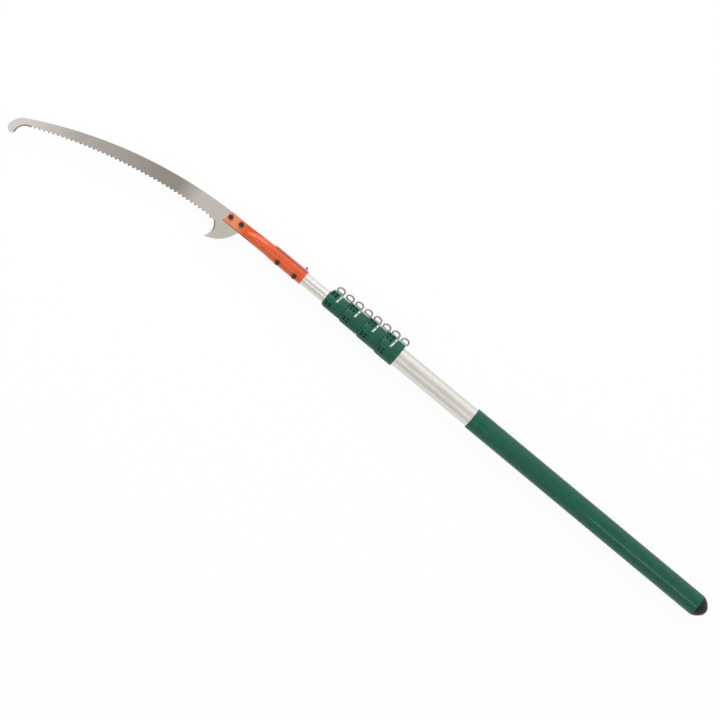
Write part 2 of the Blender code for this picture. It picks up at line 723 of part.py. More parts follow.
def lock_direction():
    angle = math.radians(LOCK_SCREW_ANGLE)
    return Vector((0, -math.cos(angle), -math.sin(angle)))


def socket_drill(name, side):
    bm = bmesh.new()
    length = 2 * SHELL_RADIUS
    for x, y in blade_bolt_places():
        add_rod(bm, BLADE_BOLT_RADIUS + SCREW_PLAY, (x, y, 0), (0, 0, side), length)
    for x, y in clamp_bolt_places():
        add_rod(bm, CLAMP_BOLT_RADIUS + SCREW_PLAY, (x, y, 0), (0, 0, side), length)
    if side < 0:
        base = Vector((SOCKET_REAR + LOCK_SCREW_SETBACK, 0, 0)) + lock_direction() * SHELL_RADIUS / 2
        add_rod(bm, CLAMP_BOLT_RADIUS + SCREW_PLAY, base, lock_direction(), SHELL_RADIUS)
    return placed(name + "_drill", bm, None)


# Bolts and nuts


def hexagon(across, height):
    """A ring of twelve points on a hexagon, with its corners and the middles of its sides."""
    points = []
    for i in range(12):
        radius = across / 2 if i % 2 else across / 2 / math.cos(math.pi / 6)
        angle = math.pi / 6 * (i + 0.5)
        points.append(Vector((radius * math.cos(angle), radius * math.sin(angle), height)))
    return points


def make_bolt(name, place, radius, seat, length, carrier):
    """A hexagon head above its seat, and a shank that runs down from it."""
    top = seat + BOLT_HEAD_HEIGHT
    rings = [
        circle(BOLT_HEAD_ACROSS / 2 * HEAD_FACE, top, 12),
        hexagon(BOLT_HEAD_ACROSS, top - BOLT_HEAD_ACROSS * HEAD_CHAMFER),
        hexagon(BOLT_HEAD_ACROSS, seat),
        circle(radius, seat, 12),
        circle(radius, seat - length, 12),
    ]
    bm = bmesh.new()
    skin(bm, rings, False)
    placed(name, bm, "dark steel", carrier, (*place, 0))


def make_nut(name, location, rotation, across, height, bore, finish, carrier):
    rings = [hexagon(across, 0), hexagon(across, height), circle(bore, height, 12), circle(bore, 0, 12)]
    bm = bmesh.new()
    skin(bm, rings, True)
    placed(name, bm, finish, carrier, location, rotation)


def make_bolt_and_nut(label, place, radius, seat, carrier):
    """Clamps the two shells: the head on the near one, the nut on the far one, each at its seat's height."""
    length = 2 * seat + NUT_HEIGHT + BOLT_END
    make_bolt(f"{label}_bolt", place, radius, seat, length, carrier)
    location = (*place, -seat - NUT_HEIGHT)
    bore = radius + SCREW_PLAY
    make_nut(f"{label}_nut", location, (0, 0, 0), BOLT_HEAD_ACROSS, NUT_HEIGHT, bore, "dark steel", carrier)


def make_lock_screw(carrier):
    """A set screw through a nut on the far shell, with its tip on the tube."""
    turned = lock_direction().to_track_quat("Z", "Y").to_euler()
    place = (SOCKET_REAR + LOCK_SCREW_SETBACK, 0, 0)
    bm = bmesh.new()
    profile = [(INNER_TUBE_RADIUS + GAP, CLAMP_BOLT_RADIUS), (LOCK_SCREW_END, CLAMP_BOLT_RADIUS)]
    turn(bm, profile, SMALL_STEPS, False)
    placed("socket_lock_screw", bm, "dark steel", carrier, place, turned)
    seat = SHELL_RADIUS + SHEET + 2 * GAP
    location = Vector(place) + lock_direction() * seat
    bore = CLAMP_BOLT_RADIUS + SCREW_PLAY
    make_nut("socket_lock_nut", location, turned, LOCK_NUT_ACROSS, LOCK_NUT_HEIGHT, bore, "zinc", carrier)


# Blade


def tooth_points(start, end):
    """Gullets and points of the teeth along their arc, from the tip's end to the root's."""
    line = [Vector(start)] + arc(start, end, -TOOTH_SAG, 60)
    lengths = [0]
    for a, b in zip(line, line[1:]):
        lengths.append(lengths[-1] + (b - a).length)

    def on_line(share, depth):
        goal = share * lengths[-1]
        i = max(k for k in range(len(line) - 1) if lengths[k] <= goal)
        forward = (line[i + 1] - line[i]).normalized()
        into_blade = Vector((forward.y, -forward.x))
        return line[i] + forward * (goal - lengths[i]) - into_blade * depth

    points = []
    for i in range(TOOTH_COUNT):
        points.append(on_line(i / TOOTH_COUNT, TOOTH_DEPTH))
        points.append(on_line((i + TOOTH_LEAN) / TOOTH_COUNT, 0))
    points.append(on_line(1, TOOTH_DEPTH))
    return points


def blade_outline():
    """Round the blade from its root: along the back, round the tip's hook, down the teeth and the bark hook."""
    tip = Vector((BLADE_REACH, BLADE_RISE))
    hook_side, hook_end, hook_point, hook_root, tooth_start = [tip + Vector(p) for p in TIP_HOOK]
    root_back = Vector((-BLADE_ROOT, -BLADE_BACK))
    outline = [root_back + Vector((ROOT_CORNER, 0)), Vector((BACK_STRAIGHT, -BLADE_BACK))]
    outline += arc(outline[-1], tip, BACK_SAG, 24)
    outline += arc(tip, hook_side, TIP_ROUND, 6)
    outline += arc(hook_side, hook_end, TIP_HOOK_ROUND, 4)
    outline += arc(hook_end, hook_point, TIP_POINT_ROUND, 3)
    outline += arc(hook_point, hook_root, -TIP_THROAT_SAG, 8)
    outline += tooth_points(tooth_start, TOOTH_END)
    outline += [Vector(LAST_TOOTH), Vector(THROAT_START)]
    outline += arc(THROAT_START, BARK_POINT, -THROAT_SAG, 10)
    outline += arc(BARK_POINT, BELLY_END, BELLY_SAG, 10)
    outline += [Vector((-BLADE_ROOT, ROOT_BELLY)), root_back + Vector((0, ROOT_CORNER))]
    return outline


def make_blade(carrier):
    bm = bmesh.new()
    corners = [bm.verts.new((p.x, p.y, -BLADE_THICKNESS / 2)) for p in blade_outline()]
    face = bm.faces.new(corners)
    made = bmesh.ops.extrude_face_region(bm, geom=[face])
    raised = [v for v in made["geom"] if isinstance(v, bmesh.types.BMVert)]
    bmesh.ops.translate(bm, verts=raised, vec=(0, 0, BLADE_THICKNESS))
    blade = placed("saw_blade", bm, "steel", carrier, (BLADE_ORIGIN, 0, 0))
    drill = bmesh.new()
    for x, y in blade_bolt_places():
        base = (x, y, -BLADE_THICKNESS)
        add_rod(drill, BLADE_BOLT_RADIUS + SCREW_PLAY, base, (0, 0, 1), 2 * BLADE_THICKNESS)
    combine(blade, placed("saw_blade_drill", drill, None), "DIFFERENCE")


# The whole saw


def make_carrier(number):
    """The empty that carries a section, on the pole's axis at its tube's rear end."""
    carrier = bpy.data.objects.new(f"section_{number}", None)
    carrier.location = (tube_rear(number), 0, 0)
    bpy.context.collection.objects.link(carrier)
    return carrier


def main():
    clear_scene()
    carriers = {number: make_carrier(number) for number in range(1, TUBE_COUNT + 1)}
    for number, carrier in carriers.items():
        make_tube(number, carrier)
        if number > 1:
            make_plug(number, carrier)
        if number <= LAST_COLLAR:
            make_collar(number, carrier)
            make_fixing_eye(number, carrier)
            make_lock_pin(number, carrier)
    make_sleeve(carriers[1])
    make_end_cap(carriers[1])
    head = carriers[TUBE_COUNT]
    make_shell("near_socket_shell", 1, 0, head)
    make_shell("far_socket_shell", -1, FLANGE, head)
    for number, place in enumerate(blade_bolt_places(), 1):
        make_bolt_and_nut(f"blade_{number}", place, BLADE_BOLT_RADIUS, CHEEK_LIFT + SHEET + GAP, head)
    for number, place in enumerate(clamp_bolt_places(), 1):
        make_bolt_and_nut(f"clamp_{number}", place, CLAMP_BOLT_RADIUS, PAD_TOP + GAP, head)
    make_lock_screw(head)
    make_blade(head)


main()
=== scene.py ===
"""A telescopic pole saw, closed, seen square to its blade on a white floor.

Everything is in metres, in the frame of the solids: +X runs along the pole to the blade, +Y is the
side of the teeth, -Y the side of the rings, and +Z faces the camera.
"""

import json
import math

import bpy
from mathutils import Matrix, Vector, kdtree


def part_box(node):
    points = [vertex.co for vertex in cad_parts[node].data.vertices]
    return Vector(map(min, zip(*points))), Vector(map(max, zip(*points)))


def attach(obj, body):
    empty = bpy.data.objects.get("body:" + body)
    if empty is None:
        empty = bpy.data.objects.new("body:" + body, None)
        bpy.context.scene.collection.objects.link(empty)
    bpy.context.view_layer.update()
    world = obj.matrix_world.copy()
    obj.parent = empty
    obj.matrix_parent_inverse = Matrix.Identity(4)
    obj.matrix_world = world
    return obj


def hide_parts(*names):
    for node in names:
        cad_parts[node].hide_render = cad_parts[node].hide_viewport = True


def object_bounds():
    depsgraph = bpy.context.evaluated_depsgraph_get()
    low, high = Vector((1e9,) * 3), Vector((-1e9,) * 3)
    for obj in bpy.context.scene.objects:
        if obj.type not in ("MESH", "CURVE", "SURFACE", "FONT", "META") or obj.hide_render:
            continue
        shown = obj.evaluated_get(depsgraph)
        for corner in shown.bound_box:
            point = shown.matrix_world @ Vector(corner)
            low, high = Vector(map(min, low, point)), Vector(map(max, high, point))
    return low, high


MM = 0.001
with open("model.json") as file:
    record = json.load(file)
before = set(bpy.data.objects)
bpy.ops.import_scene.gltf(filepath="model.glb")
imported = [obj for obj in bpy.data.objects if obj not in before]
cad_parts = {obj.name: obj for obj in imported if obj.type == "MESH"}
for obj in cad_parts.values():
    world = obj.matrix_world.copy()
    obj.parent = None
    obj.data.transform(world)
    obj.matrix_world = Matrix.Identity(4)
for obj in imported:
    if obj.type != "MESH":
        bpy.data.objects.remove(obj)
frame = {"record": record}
solid_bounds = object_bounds()

# Sizes that the solids share
GAP = 0.3 * MM
TUBE_RADII = {1: 17.0 * MM, 2: 15.5 * MM, 3: 14.0 * MM, 4: 12.5 * MM, 5: 11.0 * MM}
TUBE_WALL = 1.2 * MM
COLLAR_LENGTH = 38 * MM
COLLAR_WALL = 2.7 * MM  # over the tube
COLLAR_SEAT = 21.9 * MM  # how far the tube reaches into it
COLLAR_NOSE = 4.5 * MM  # length of the taper at its front
NOSE_DROPS = {1: 2.2 * MM, 2: 2.2 * MM, 3: 2.2 * MM, 4: 3.2 * MM}
COLLAR_HEEL = 0.8 * MM  # rounding of its rear rim
COLLAR_LIP = 0.8 * MM  # wall of the lip that laps into the next collar
COLLAR_LAP = 1.0 * MM
RIDGE_HEIGHT = 4.0 * MM
RIDGE_HALF = 8.5 * MM
RIDGE_TOP_HALF = 4.0 * MM
RIDGE_RAKE = 0.35  # how much the front end of the last ridge leans back
EYE_SETBACK = 5.5 * MM  # of the fixing eye, from the collar's rear rim
LOCK_SETBACK = 24.7 * MM  # of the lock pin
SLOT_MIDDLE = 17.81 * MM
SLOT_WIDTH = 3.0 * MM
SLOT_FLOOR = 4.2 * MM
SLOT_LEAN = math.radians(7)
GROOVE_HALF = 1.8 * MM
EYE_FLOOR = 21.1 * MM  # of the first collar's groove, off the axis
EYE_FLOOR_STEP = 0.95 * MM
LEG_PLACE = -7.1 * MM  # of a pull ring's leg, from its pin
EYE_HALF = (6.5 * MM, 4.1 * MM)
EYE_SQUARENESS = 0.6  # of a ring's foot: 1 would leave it an ellipse
EYE_WIRE = 1.5 * MM
SHANK_RADIUS = 2.0 * MM
PIN_TIP_RADIUS = 1.7 * MM
PIN_HOLE = 3.2 * MM  # radius of the hole in the collar for pin and bush
LOCK_STOPS = (180 * MM, 360 * MM, 540 * MM)
SHEET = 0.9 * MM
BLADE_ORIGIN = 1018.2 * MM  # station of the front blade bolt
BLADE_HALF = 0.65 * MM
ALONG_X = Matrix.Rotation(math.pi / 2, 4, "Y")
OUT_OF_COLLAR = Matrix.Rotation(math.pi / 2, 4, "X")
SOCKET_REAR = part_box("near_socket_shell")[0].x
SOCKET_FRONT = 1023.7 * MM


def tube_rear(number):
    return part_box(f"tube_{number}")[0].x


def collar_rear(number):
    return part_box(f"collar_{number}")[0].x


def collar_radius(number):
    return TUBE_RADII[number] + COLLAR_WALL


def eye_floor(number):
    """Where the groove of the ridge has its floor, off the axis: the rings stand on it."""
    return EYE_FLOOR - EYE_FLOOR_STEP * (number - 1)


def eye_middle(number):
    return eye_floor(number) + GAP + EYE_WIRE + EYE_HALF[1]


# Modelling


def mode(name):
    if bpy.context.object.mode != name:
        bpy.ops.object.mode_set(mode=name)


def clear_selection():
    bpy.ops.object.select_all(action="DESELECT")


def choose(*pieces):
    """Selects these pieces alone. The first is the active one."""
    clear_selection()
    for piece in pieces:
        piece.select_set(True)
    bpy.context.view_layer.objects.active = pieces[0]


def pick(kind, test):
    """In edit mode, selects the active piece's vertices or edges whose place passes a test."""
    bpy.ops.mesh.select_mode(type=kind)
    bpy.ops.mesh.select_all(action="DESELECT")
    mode("OBJECT")
    mesh = bpy.context.object.data
    if kind == "EDGE":
        for edge in mesh.edges:
            edge.select = test(*[mesh.vertices[i].co for i in edge.vertices])
    else:
        for vertex in mesh.vertices:
            vertex.select = test(vertex.co)
    mode("EDIT")


def settle(piece):
    """Puts a piece's place into its mesh."""
    choose(piece)
    bpy.ops.object.transform_apply(location=True, rotation=True, scale=True)


def put(piece, place):
    piece.data.transform(place)
    piece.data.update()


def apply_modifier(piece, kind, **settings):
    choose(piece)
    modifier = piece.modifiers.new(kind.title(), kind)
    for name, value in settings.items():
        setattr(modifier, name, value)
    bpy.ops.object.modifier_apply(modifier=modifier.name)


def cut(piece, tool, operation="DIFFERENCE"):
    apply_modifier(piece, "BOOLEAN", object=tool, operation=operation, solver="EXACT")
    bpy.data.objects.remove(tool, do_unlink=True)


def join(pieces):
    choose(*pieces)
    if len(pieces) > 1:
        bpy.ops.object.join()
    return pieces[0]


def face_out(piece):
    choose(piece)
    mode("EDIT")
    bpy.ops.mesh.select_all(action="SELECT")
    bpy.ops.mesh.remove_doubles(threshold=0.002 * MM)
    bpy.ops.mesh.normals_make_consistent(inside=False)
    mode("OBJECT")


def begin(name, operator, **settings):
    """Adds an object with one of the add operators, alone in the selection, and names it."""
    clear_selection()
    operator(**settings)
    bpy.context.object.name = name
    return bpy.context.object


def turned(name, profile, steps=96, hollow=False):
    """A piece turned round Z: a circle drawn from one (height, radius) pair to the next."""
    height, radius = profile[0]
    ring = {"vertices": steps, "radius": radius, "location": (0, 0, height)}
    piece = begin(name, bpy.ops.mesh.primitive_circle_add, **ring)
    settle(piece)
    mode("EDIT")
    bpy.ops.mesh.select_all(action="SELECT")
    if not hollow:
        bpy.ops.mesh.edge_face_add()
    for next_height, next_radius in profile[1:]:
        bpy.ops.mesh.extrude_region_move(TRANSFORM_OT_translate={"value": (0, 0, next_height - height)})
        scale = next_radius / radius
        bpy.ops.transform.resize(value=(scale, scale, 1), center_override=(0, 0, next_height))
        height, radius = next_height, next_radius
    mode("OBJECT")
    face_out(piece)
    return piece


def quarter(centre, radii, start, steps):
    """(height, radius) pairs of a quarter turn that ends 90 degrees on from its start."""
    pairs = []
    for i in range(steps + 1):
        angle = math.radians(start - 90 * i / steps)
        pairs.append((centre[0] + radii[0] * math.cos(angle), centre[1] + radii[1] * math.sin(angle)))
    return pairs


def block(name, low, high, rounding=0.0):
    """A box between two corners, with its edges rounded."""
    low = Vector(low)
    high = Vector(high)
    cube = bpy.ops.mesh.primitive_cube_add
    piece = begin(name, cube, size=1, location=(low + high) / 2, scale=high - low)
    settle(piece)
    if rounding:
        mode("EDIT")
        bpy.ops.mesh.select_all(action="SELECT")
        bpy.ops.mesh.bevel(offset=rounding, segments=2, affect="EDGES")
        mode("OBJECT")
    return piece


def rod(name, radius, base, direction, length, steps=32):
    """A plain round rod from its base."""
    piece = turned(name, [(0, radius), (length, radius)], steps)
    turn = Vector(direction).to_track_quat("Z", "Y").to_matrix().to_4x4()
    put(piece, Matrix.Translation(base) @ turn)
    return piece


def hand_over(piece, node, finish, angle=32):
    """Gives a finished piece its material and its body, and hides the solid that it stands for."""
    choose(piece)
    piece.data.materials.clear()
    piece.data.materials.append(finish)
    bpy.ops.object.shade_smooth_by_angle(angle=math.radians(angle))
    bodies = frame["record"]["behaviour"]["bodies"]
    body = next(name for name, nodes in bodies.items() if node in nodes)
    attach(piece, body)
    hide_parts(node)


# Materials


def linear(code):
    """An sRGB hex colour as linear RGBA."""
    values = [int(code[i : i + 2], 16) / 255 for i in (1, 3, 5)]
    return (*[v / 12.92 if v <= 0.04045 else ((v + 0.055) / 1.055) ** 2.4 for v in values], 1)


def add(tree, kind, settings=None, links=None):
    """Adds a shader node with its settings, named or numbered inputs or properties, and its links.

    A node among the links stands for its first output.
    """
    made = tree.nodes.new("ShaderNode" + kind)
    for name, value in (settings or {}).items():
        if isinstance(name, int) or name in made.inputs:
            made.inputs[name].default_value = value
        else:
            setattr(made, name, value)
    for name, source in (links or {}).items():
        output = source.outputs[0] if isinstance(source, bpy.types.Node) else source
        tree.links.new(output, made.inputs[name])
    return made


def finish(name, colour, roughness, **sockets):
    """A material with its shader's plain values, and what patterns are drawn on: the object's own place."""
    material = bpy.data.materials.new(name)
    material.use_nodes = True
    tree = material.node_tree
    shader = tree.nodes["Principled BSDF"]
    shader.inputs["Base Color"].default_value = linear(colour)
    shader.inputs["Roughness"].default_value = roughness
    for socket, value in sockets.items():
        shader.inputs[socket.replace("_", " ")].default_value = value
    place = add(tree, "TexCoord").outputs["Object"]
    return material, tree, shader, place


def mottled(tree, place, scale, detail, dark, light):
    """A cloudy share between 0 and 1, and the colour that goes from dark to light with it."""
    cloud = add(tree, "TexNoise", {"Scale": scale, "Detail": detail}, {"Vector": place})
    tint = add(tree, "Mix", {"data_type": "RGBA", 6: linear(dark), 7: linear(light)}, {0: cloud})
    return cloud, tint


def drive(tree, shader, tint, height, strength, depth, rough=None):
    """Links colour and roughness to the shader, and a relief of that strength and depth."""
    bump = add(tree, "Bump", {"Strength": strength, "Distance": depth}, {"Height": height})
    tree.links.new(tint.outputs[2], shader.inputs["Base Color"])
    tree.links.new(bump.outputs[0], shader.inputs["Normal"])
    if rough:
        tree.links.new(rough.outputs[0], shader.inputs["Roughness"])


def lined(tree, place, stretch, cloud, smoothest, dullest):
    """Fine lines in a stretched pattern, and the roughness that they and a cloudiness give together."""
    stretched = add(tree, "Mapping", {"Scale": stretch}, {"Vector": place})
    lines = add(tree, "TexNoise", {"Scale": 1, "Detail": 3}, {"Vector": stretched})
    mixed = add(tree, "Math", {"operation": "ADD"}, {0: lines, 1: cloud})
    settings = {"From Min": 0.7, "From Max": 1.3, "To Min": smoothest, "To Max": dullest}
    return lines, add(tree, "MapRange", settings, {"Value": mixed})


def drawn_aluminium():
    """Tube drawn through a die and clear anodised: a soft sheen, with lines along it.

    Real die lines are under 0.1 mm apart. They are drawn 0.8 mm apart, so that they show.
    """
    material, tree, shader, place = finish("drawn anodised aluminium", "#dedcd5", 0.3, Metallic=1.0)
    cloud = add(tree, "TexNoise", {"Scale": 25, "Detail": 3}, {"Vector": place})
    lines, rough = lined(tree, place, (2, 1250, 1250), cloud, 0.28, 0.4)
    tint = add(tree, "Mix", {"data_type": "RGBA", 6: linear("#e3e1da"), 7: linear("#d6d4cc")}, {0: lines})
    drive(tree, shader, tint, lines, 0.05, 0.02 * MM, rough)
    return material


POCKET_SHADE_DEPTHS = (0.6 * MM, 1.4 * MM)  # below the collar's outside, where the painted shade starts and where it is full
POCKET_SHADE_END = 35.2 * MM  # from the collar's rear: the nose ahead of it gets no painted shade
RIDGE_HIGHLIGHT_DEPTHS = (3.2 * MM, 2.2 * MM)  # below the ridge's top, where the painted highlight ends and where it is full
RIDGE_HIGHLIGHT_LESS_AHEAD = 1.2 * MM  # the painted highlight reaches less far down the ridge ahead of the slot


def moulded_nylon(number):
    """Glass-filled nylon, injection moulded: even dark green, a faint cloudiness and a fine spark grain.

    A painted highlight makes it pale along the ridge's top, and painted light makes it pale in the
    slot. Painted shade darkens it below its outside, as in its pockets.
    """
    name = f"moulded glass-filled nylon {number}"
    material, tree, shader, place = finish(name, "#104b3a", 0.42, Specular_IOR_Level=0.3)
    cloud, tint = mottled(tree, place, 90, 4, "#0d4b39", "#135945")
    # Painted shade: darker below the collar's outside, as in its pockets, but not in the nose
    flat = add(tree, "VectorMath", {"operation": "MULTIPLY", 1: (0, 1, 1)}, {0: place})
    off_axis = add(tree, "VectorMath", {"operation": "LENGTH"}, {0: flat})
    outer = collar_radius(number)
    band = {"From Min": outer - POCKET_SHADE_DEPTHS[0], "From Max": outer - POCKET_SHADE_DEPTHS[1], "To Max": 0.8}
    painted_pocket_shade = add(tree, "MapRange", band, {"Value": off_axis.outputs["Value"]})
    parts = add(tree, "SeparateXYZ", None, {0: place})
    nose = {"operation": "LESS_THAN", 1: collar_rear(number) + POCKET_SHADE_END}
    body = add(tree, "Math", nose, {0: parts.outputs["X"]})
    painted_pocket_shade = add(tree, "Math", {"operation": "MULTIPLY"}, {0: painted_pocket_shade, 1: body})
    tint = add(tree, "Mix", {"data_type": "RGBA", 7: linear("#04201a")}, {0: painted_pocket_shade, 6: tint.outputs[2]})
    # Painted highlight: the ridge's top made pale
    up = parts.outputs["Y"]
    ridge = -(outer + RIDGE_HEIGHT)
    ahead = {"operation": "GREATER_THAN", 1: collar_rear(number) + SLOT_MIDDLE}
    ahead = add(tree, "Math", ahead, {0: parts.outputs["X"]})
    down = add(tree, "Math", {"operation": "MULTIPLY_ADD", 1: RIDGE_HIGHLIGHT_LESS_AHEAD}, {0: ahead, 2: up})
    band = {"From Min": ridge + RIDGE_HIGHLIGHT_DEPTHS[0], "From Max": ridge + RIDGE_HIGHLIGHT_DEPTHS[1], "To Max": 0.6}
    ridge_highlight = add(tree, "MapRange", band, {"Value": down})
    # Painted light: the slot made pale, for the brightness seen through it
    square = Vector((math.cos(SLOT_LEAN), -math.sin(SLOT_LEAN), 0))
    middle = square.dot(Vector((collar_rear(number) + SLOT_MIDDLE, -outer, 0)))
    across = add(tree, "VectorMath", {"operation": "DOT_PRODUCT", 1: square}, {0: place})
    off = add(tree, "Math", {"operation": "SUBTRACT", 1: middle}, {0: across.outputs["Value"]})
    off = add(tree, "Math", {"operation": "ABSOLUTE"}, {0: off})
    wall = SLOT_WIDTH / 2 + 0.1 * MM
    inside = add(tree, "Math", {"operation": "LESS_THAN", 1: wall}, {0: off})
    above = add(tree, "Math", {"operation": "LESS_THAN", 1: 0.3 * MM - SLOT_FLOOR}, {0: up})
    slot_light = add(tree, "Math", {"operation": "MULTIPLY"}, {0: inside, 1: above})
    pale_light = add(tree, "Math", {"operation": "MAXIMUM"}, {0: ridge_highlight, 1: slot_light})
    lit_tint = add(tree, "Mix", {"data_type": "RGBA", 7: linear("#b4cfc2")}, {0: pale_light, 6: tint.outputs[2]})
    grain = add(tree, "TexNoise", {"Scale": 1800, "Detail": 2}, {"Vector": place})
    rough = add(tree, "MapRange", {"To Min": 0.36, "To Max": 0.5}, {"Value": cloud})
    drive(tree, shader, lit_tint, grain, 0.25, 0.04 * MM, rough)
    return material


def shrunk_vinyl():
    """A vinyl tube shrunk on the pole: a soft dull sheen, faintly waved, with an orange-peel skin."""
    material, tree, shader, place = finish(
        "shrunk vinyl", "#145a46", 0.45, Specular_IOR_Level=0.1, Coat_Weight=0.4, Coat_Roughness=0.14
    )
    cloud, tint = mottled(tree, place, 70, 5, "#104f3a", "#155946")
    peel = add(tree, "TexVoronoi", {"Scale": 700}, {"Vector": place})
    rough = add(tree, "MapRange", {"To Min": 0.4, "To Max": 0.55}, {"Value": cloud})
    drive(tree, shader, tint, peel, 0.08, 0.06 * MM, rough)
    return material


def moulded_polythene():
    """Black polythene, moulded: nearly black with a waxy, uneven sheen and scuffs."""
    material, tree, shader, place = finish(
        "moulded black polythene", "#101011", 0.42, Specular_IOR_Level=0.3
    )
    scuff, tint = mottled(tree, place, 450, 5, "#0c0c0d", "#181819")
    rough = add(tree, "MapRange", {"To Min": 0.3, "To Max": 0.6}, {"Value": scuff})
    drive(tree, shader, tint, scuff, 0.2, 0.05 * MM, rough)
    return material


def ground_blade_steel():
    """Spring steel, rolled and cross-ground: a warm satin grey with grinding lines across the blade.

    Real grinding lines are about 0.1 mm apart. They are drawn 0.7 mm apart, so that they show.
    Stretches of it are painted lighter near the root and towards the tip, a painted reflection of the
    room that leaves it darker half way along. The tooth points are hardened, which leaves them dark, and
    the dark bands along the edges in both hooks are painted shade on their ground bevels.
    """
    material, tree, shader, place = finish("ground spring steel", "#b9b1aa", 0.34, Metallic=1.0)
    cloud, tint = mottled(tree, place, 14, 4, "#9a938a", "#a29b92")
    lines, rough = lined(tree, place, (1400, 25, 25), cloud, 0.28, 0.42)
    parts = add(tree, "SeparateXYZ", None, {0: place})
    station = parts.outputs["X"]
    # Painted reflection: stretches of the blade made lighter along its length
    for start, end, share in REFLECTION_STRETCHES:
        painted_reflection = {"From Min": start, "From Max": end, "To Max": share}
        painted_reflection = add(tree, "MapRange", painted_reflection, {"Value": station})
        settings = {"data_type": "RGBA", 7: linear("#e6ded7")}
        tint = add(tree, "Mix", settings, {0: painted_reflection, 6: tint.outputs[2]})
    # Dark bands along the edges: hardening on the teeth, painted shade on the bevels in both hooks
    for start, end, sag, width, low, high, far in HARDENED_AND_SHADED_EDGES:
        middle, radius = circle(start, end, sag)[:2]
        centre = (BLADE_ORIGIN + middle.x, middle.y, 0)
        reach = add(tree, "VectorMath", {"operation": "DISTANCE", 1: centre}, {0: place})
        band = {"From Min": radius + width, "From Max": radius + width - 0.8 * MM}
        near = add(tree, "MapRange", band, {"Value": reach.outputs["Value"]})
        past = add(tree, "Math", {"operation": "GREATER_THAN", 1: BLADE_ORIGIN + low}, {0: station})
        short = add(tree, "Math", {"operation": "LESS_THAN", 1: BLADE_ORIGIN + high}, {0: station})
        fade = {"From Min": far, "From Max": far - 3 * MM}
        fade = add(tree, "MapRange", fade, {"Value": parts.outputs["Y"]})
        share = near
        for limit in (past, short, fade):
            share = add(tree, "Math", {"operation": "MULTIPLY"}, {0: share, 1: limit})
        settings = {"data_type": "RGBA", 7: linear("#625a54")}
        tint = add(tree, "Mix", settings, {0: share, 6: tint.outputs[2]})
    drive(tree, shader, tint, lines, 0.15, 0.02 * MM, rough)
    return material


def baked_enamel():
    """Orange enamel baked on pressed steel: a wet gloss, slightly orange-peeled.

    The cheeks are painted paler towards the front, a painted sheen on their flat faces; painted shade
    darkens the crease, and a painted shadow darkens the belly's edge of the cheeks.
    """
    material, tree, shader, place = finish(
        "baked orange enamel", "#dd571d", 0.4, Coat_Weight=1.0, Coat_Roughness=0.12, Specular_IOR_Level=0.1
    )
    _, tint = mottled(tree, place, 60, 3, "#d14c12", "#da581a")
    parts = add(tree, "SeparateXYZ", None, {0: place})
    # Painted sheen: the flat cheeks made paler towards the front
    cheek = NOSE_START + NOSE_LENGTH
    fade = {"From Min": cheek, "From Max": cheek + 20 * MM, "To Max": 0.7}
    cheek_sheen = add(tree, "MapRange", fade, {"Value": parts.outputs["X"]})
    tint = add(tree, "Mix", {"data_type": "RGBA", 7: linear("#ee966a")}, {0: cheek_sheen, 6: tint.outputs[2]})
    # Painted shade: darker along the crease on the near shell's back
    flat = add(tree, "VectorMath", {"operation": "MULTIPLY", 1: (0, 1, 1)}, {0: place})
    off = add(tree, "VectorMath", {"operation": "DISTANCE", 1: (0, *crease_place())}, {0: flat})
    band = {"From Min": 1.9 * MM, "From Max": 1.2 * MM, "To Max": 0.85}
    near = add(tree, "MapRange", band, {"Value": off.outputs["Value"]})
    fade = {"From Min": CREASE_END, "From Max": CREASE_END - 6 * MM}
    there = add(tree, "MapRange", fade, {"Value": parts.outputs["X"]})
    crease = add(tree, "Math", {"operation": "MULTIPLY"}, {0: near, 1: there})
    # Painted shadow: darker along the belly's edge of the cheeks
    band = {"From Min": CHEEK[1] - 1.6 * MM, "From Max": CHEEK[1] - 0.9 * MM, "To Max": 0.8}
    belly = add(tree, "MapRange", band, {"Value": parts.outputs["Y"]})
    fade = {"From Min": cheek - 16 * MM, "From Max": cheek}
    ahead = add(tree, "MapRange", fade, {"Value": parts.outputs["X"]})
    edge = add(tree, "Math", {"operation": "MULTIPLY"}, {0: belly, 1: ahead})
    share = add(tree, "Math", {"operation": "MAXIMUM"}, {0: crease, 1: edge})
    tint = add(tree, "Mix", {"data_type": "RGBA", 7: linear("#3c120a")}, {0: share, 6: tint.outputs[2]})
    peel = add(tree, "TexNoise", {"Scale": 500, "Detail": 2}, {"Vector": place})
    drive(tree, shader, tint, peel, 0.03, 0.05 * MM)
    return material


def plated_steel(name, dark, light, roughness):
    """Steel wire or a turned nut in a thin plating: uneven, with small dull spots."""
    material, tree, shader, place = finish(name, light, roughness, Metallic=1.0)
    spots, tint = mottled(tree, place, 600, 5, dark, light)
    settings = {"To Min": roughness - 0.1, "To Max": roughness + 0.12}
    rough = add(tree, "MapRange", settings, {"Value": spots})
    drive(tree, shader, tint, spots, 0.15, 0.02 * MM, rough)
    return material


# Tubes

TUBE_EDGE = 0.25 * MM  # broken off both rims of each end
PLUG_FLANGE = 1.5 * MM
PLUG_LENGTH = 10 * MM  # of its spigot
PLUG_EDGE = 0.4 * MM


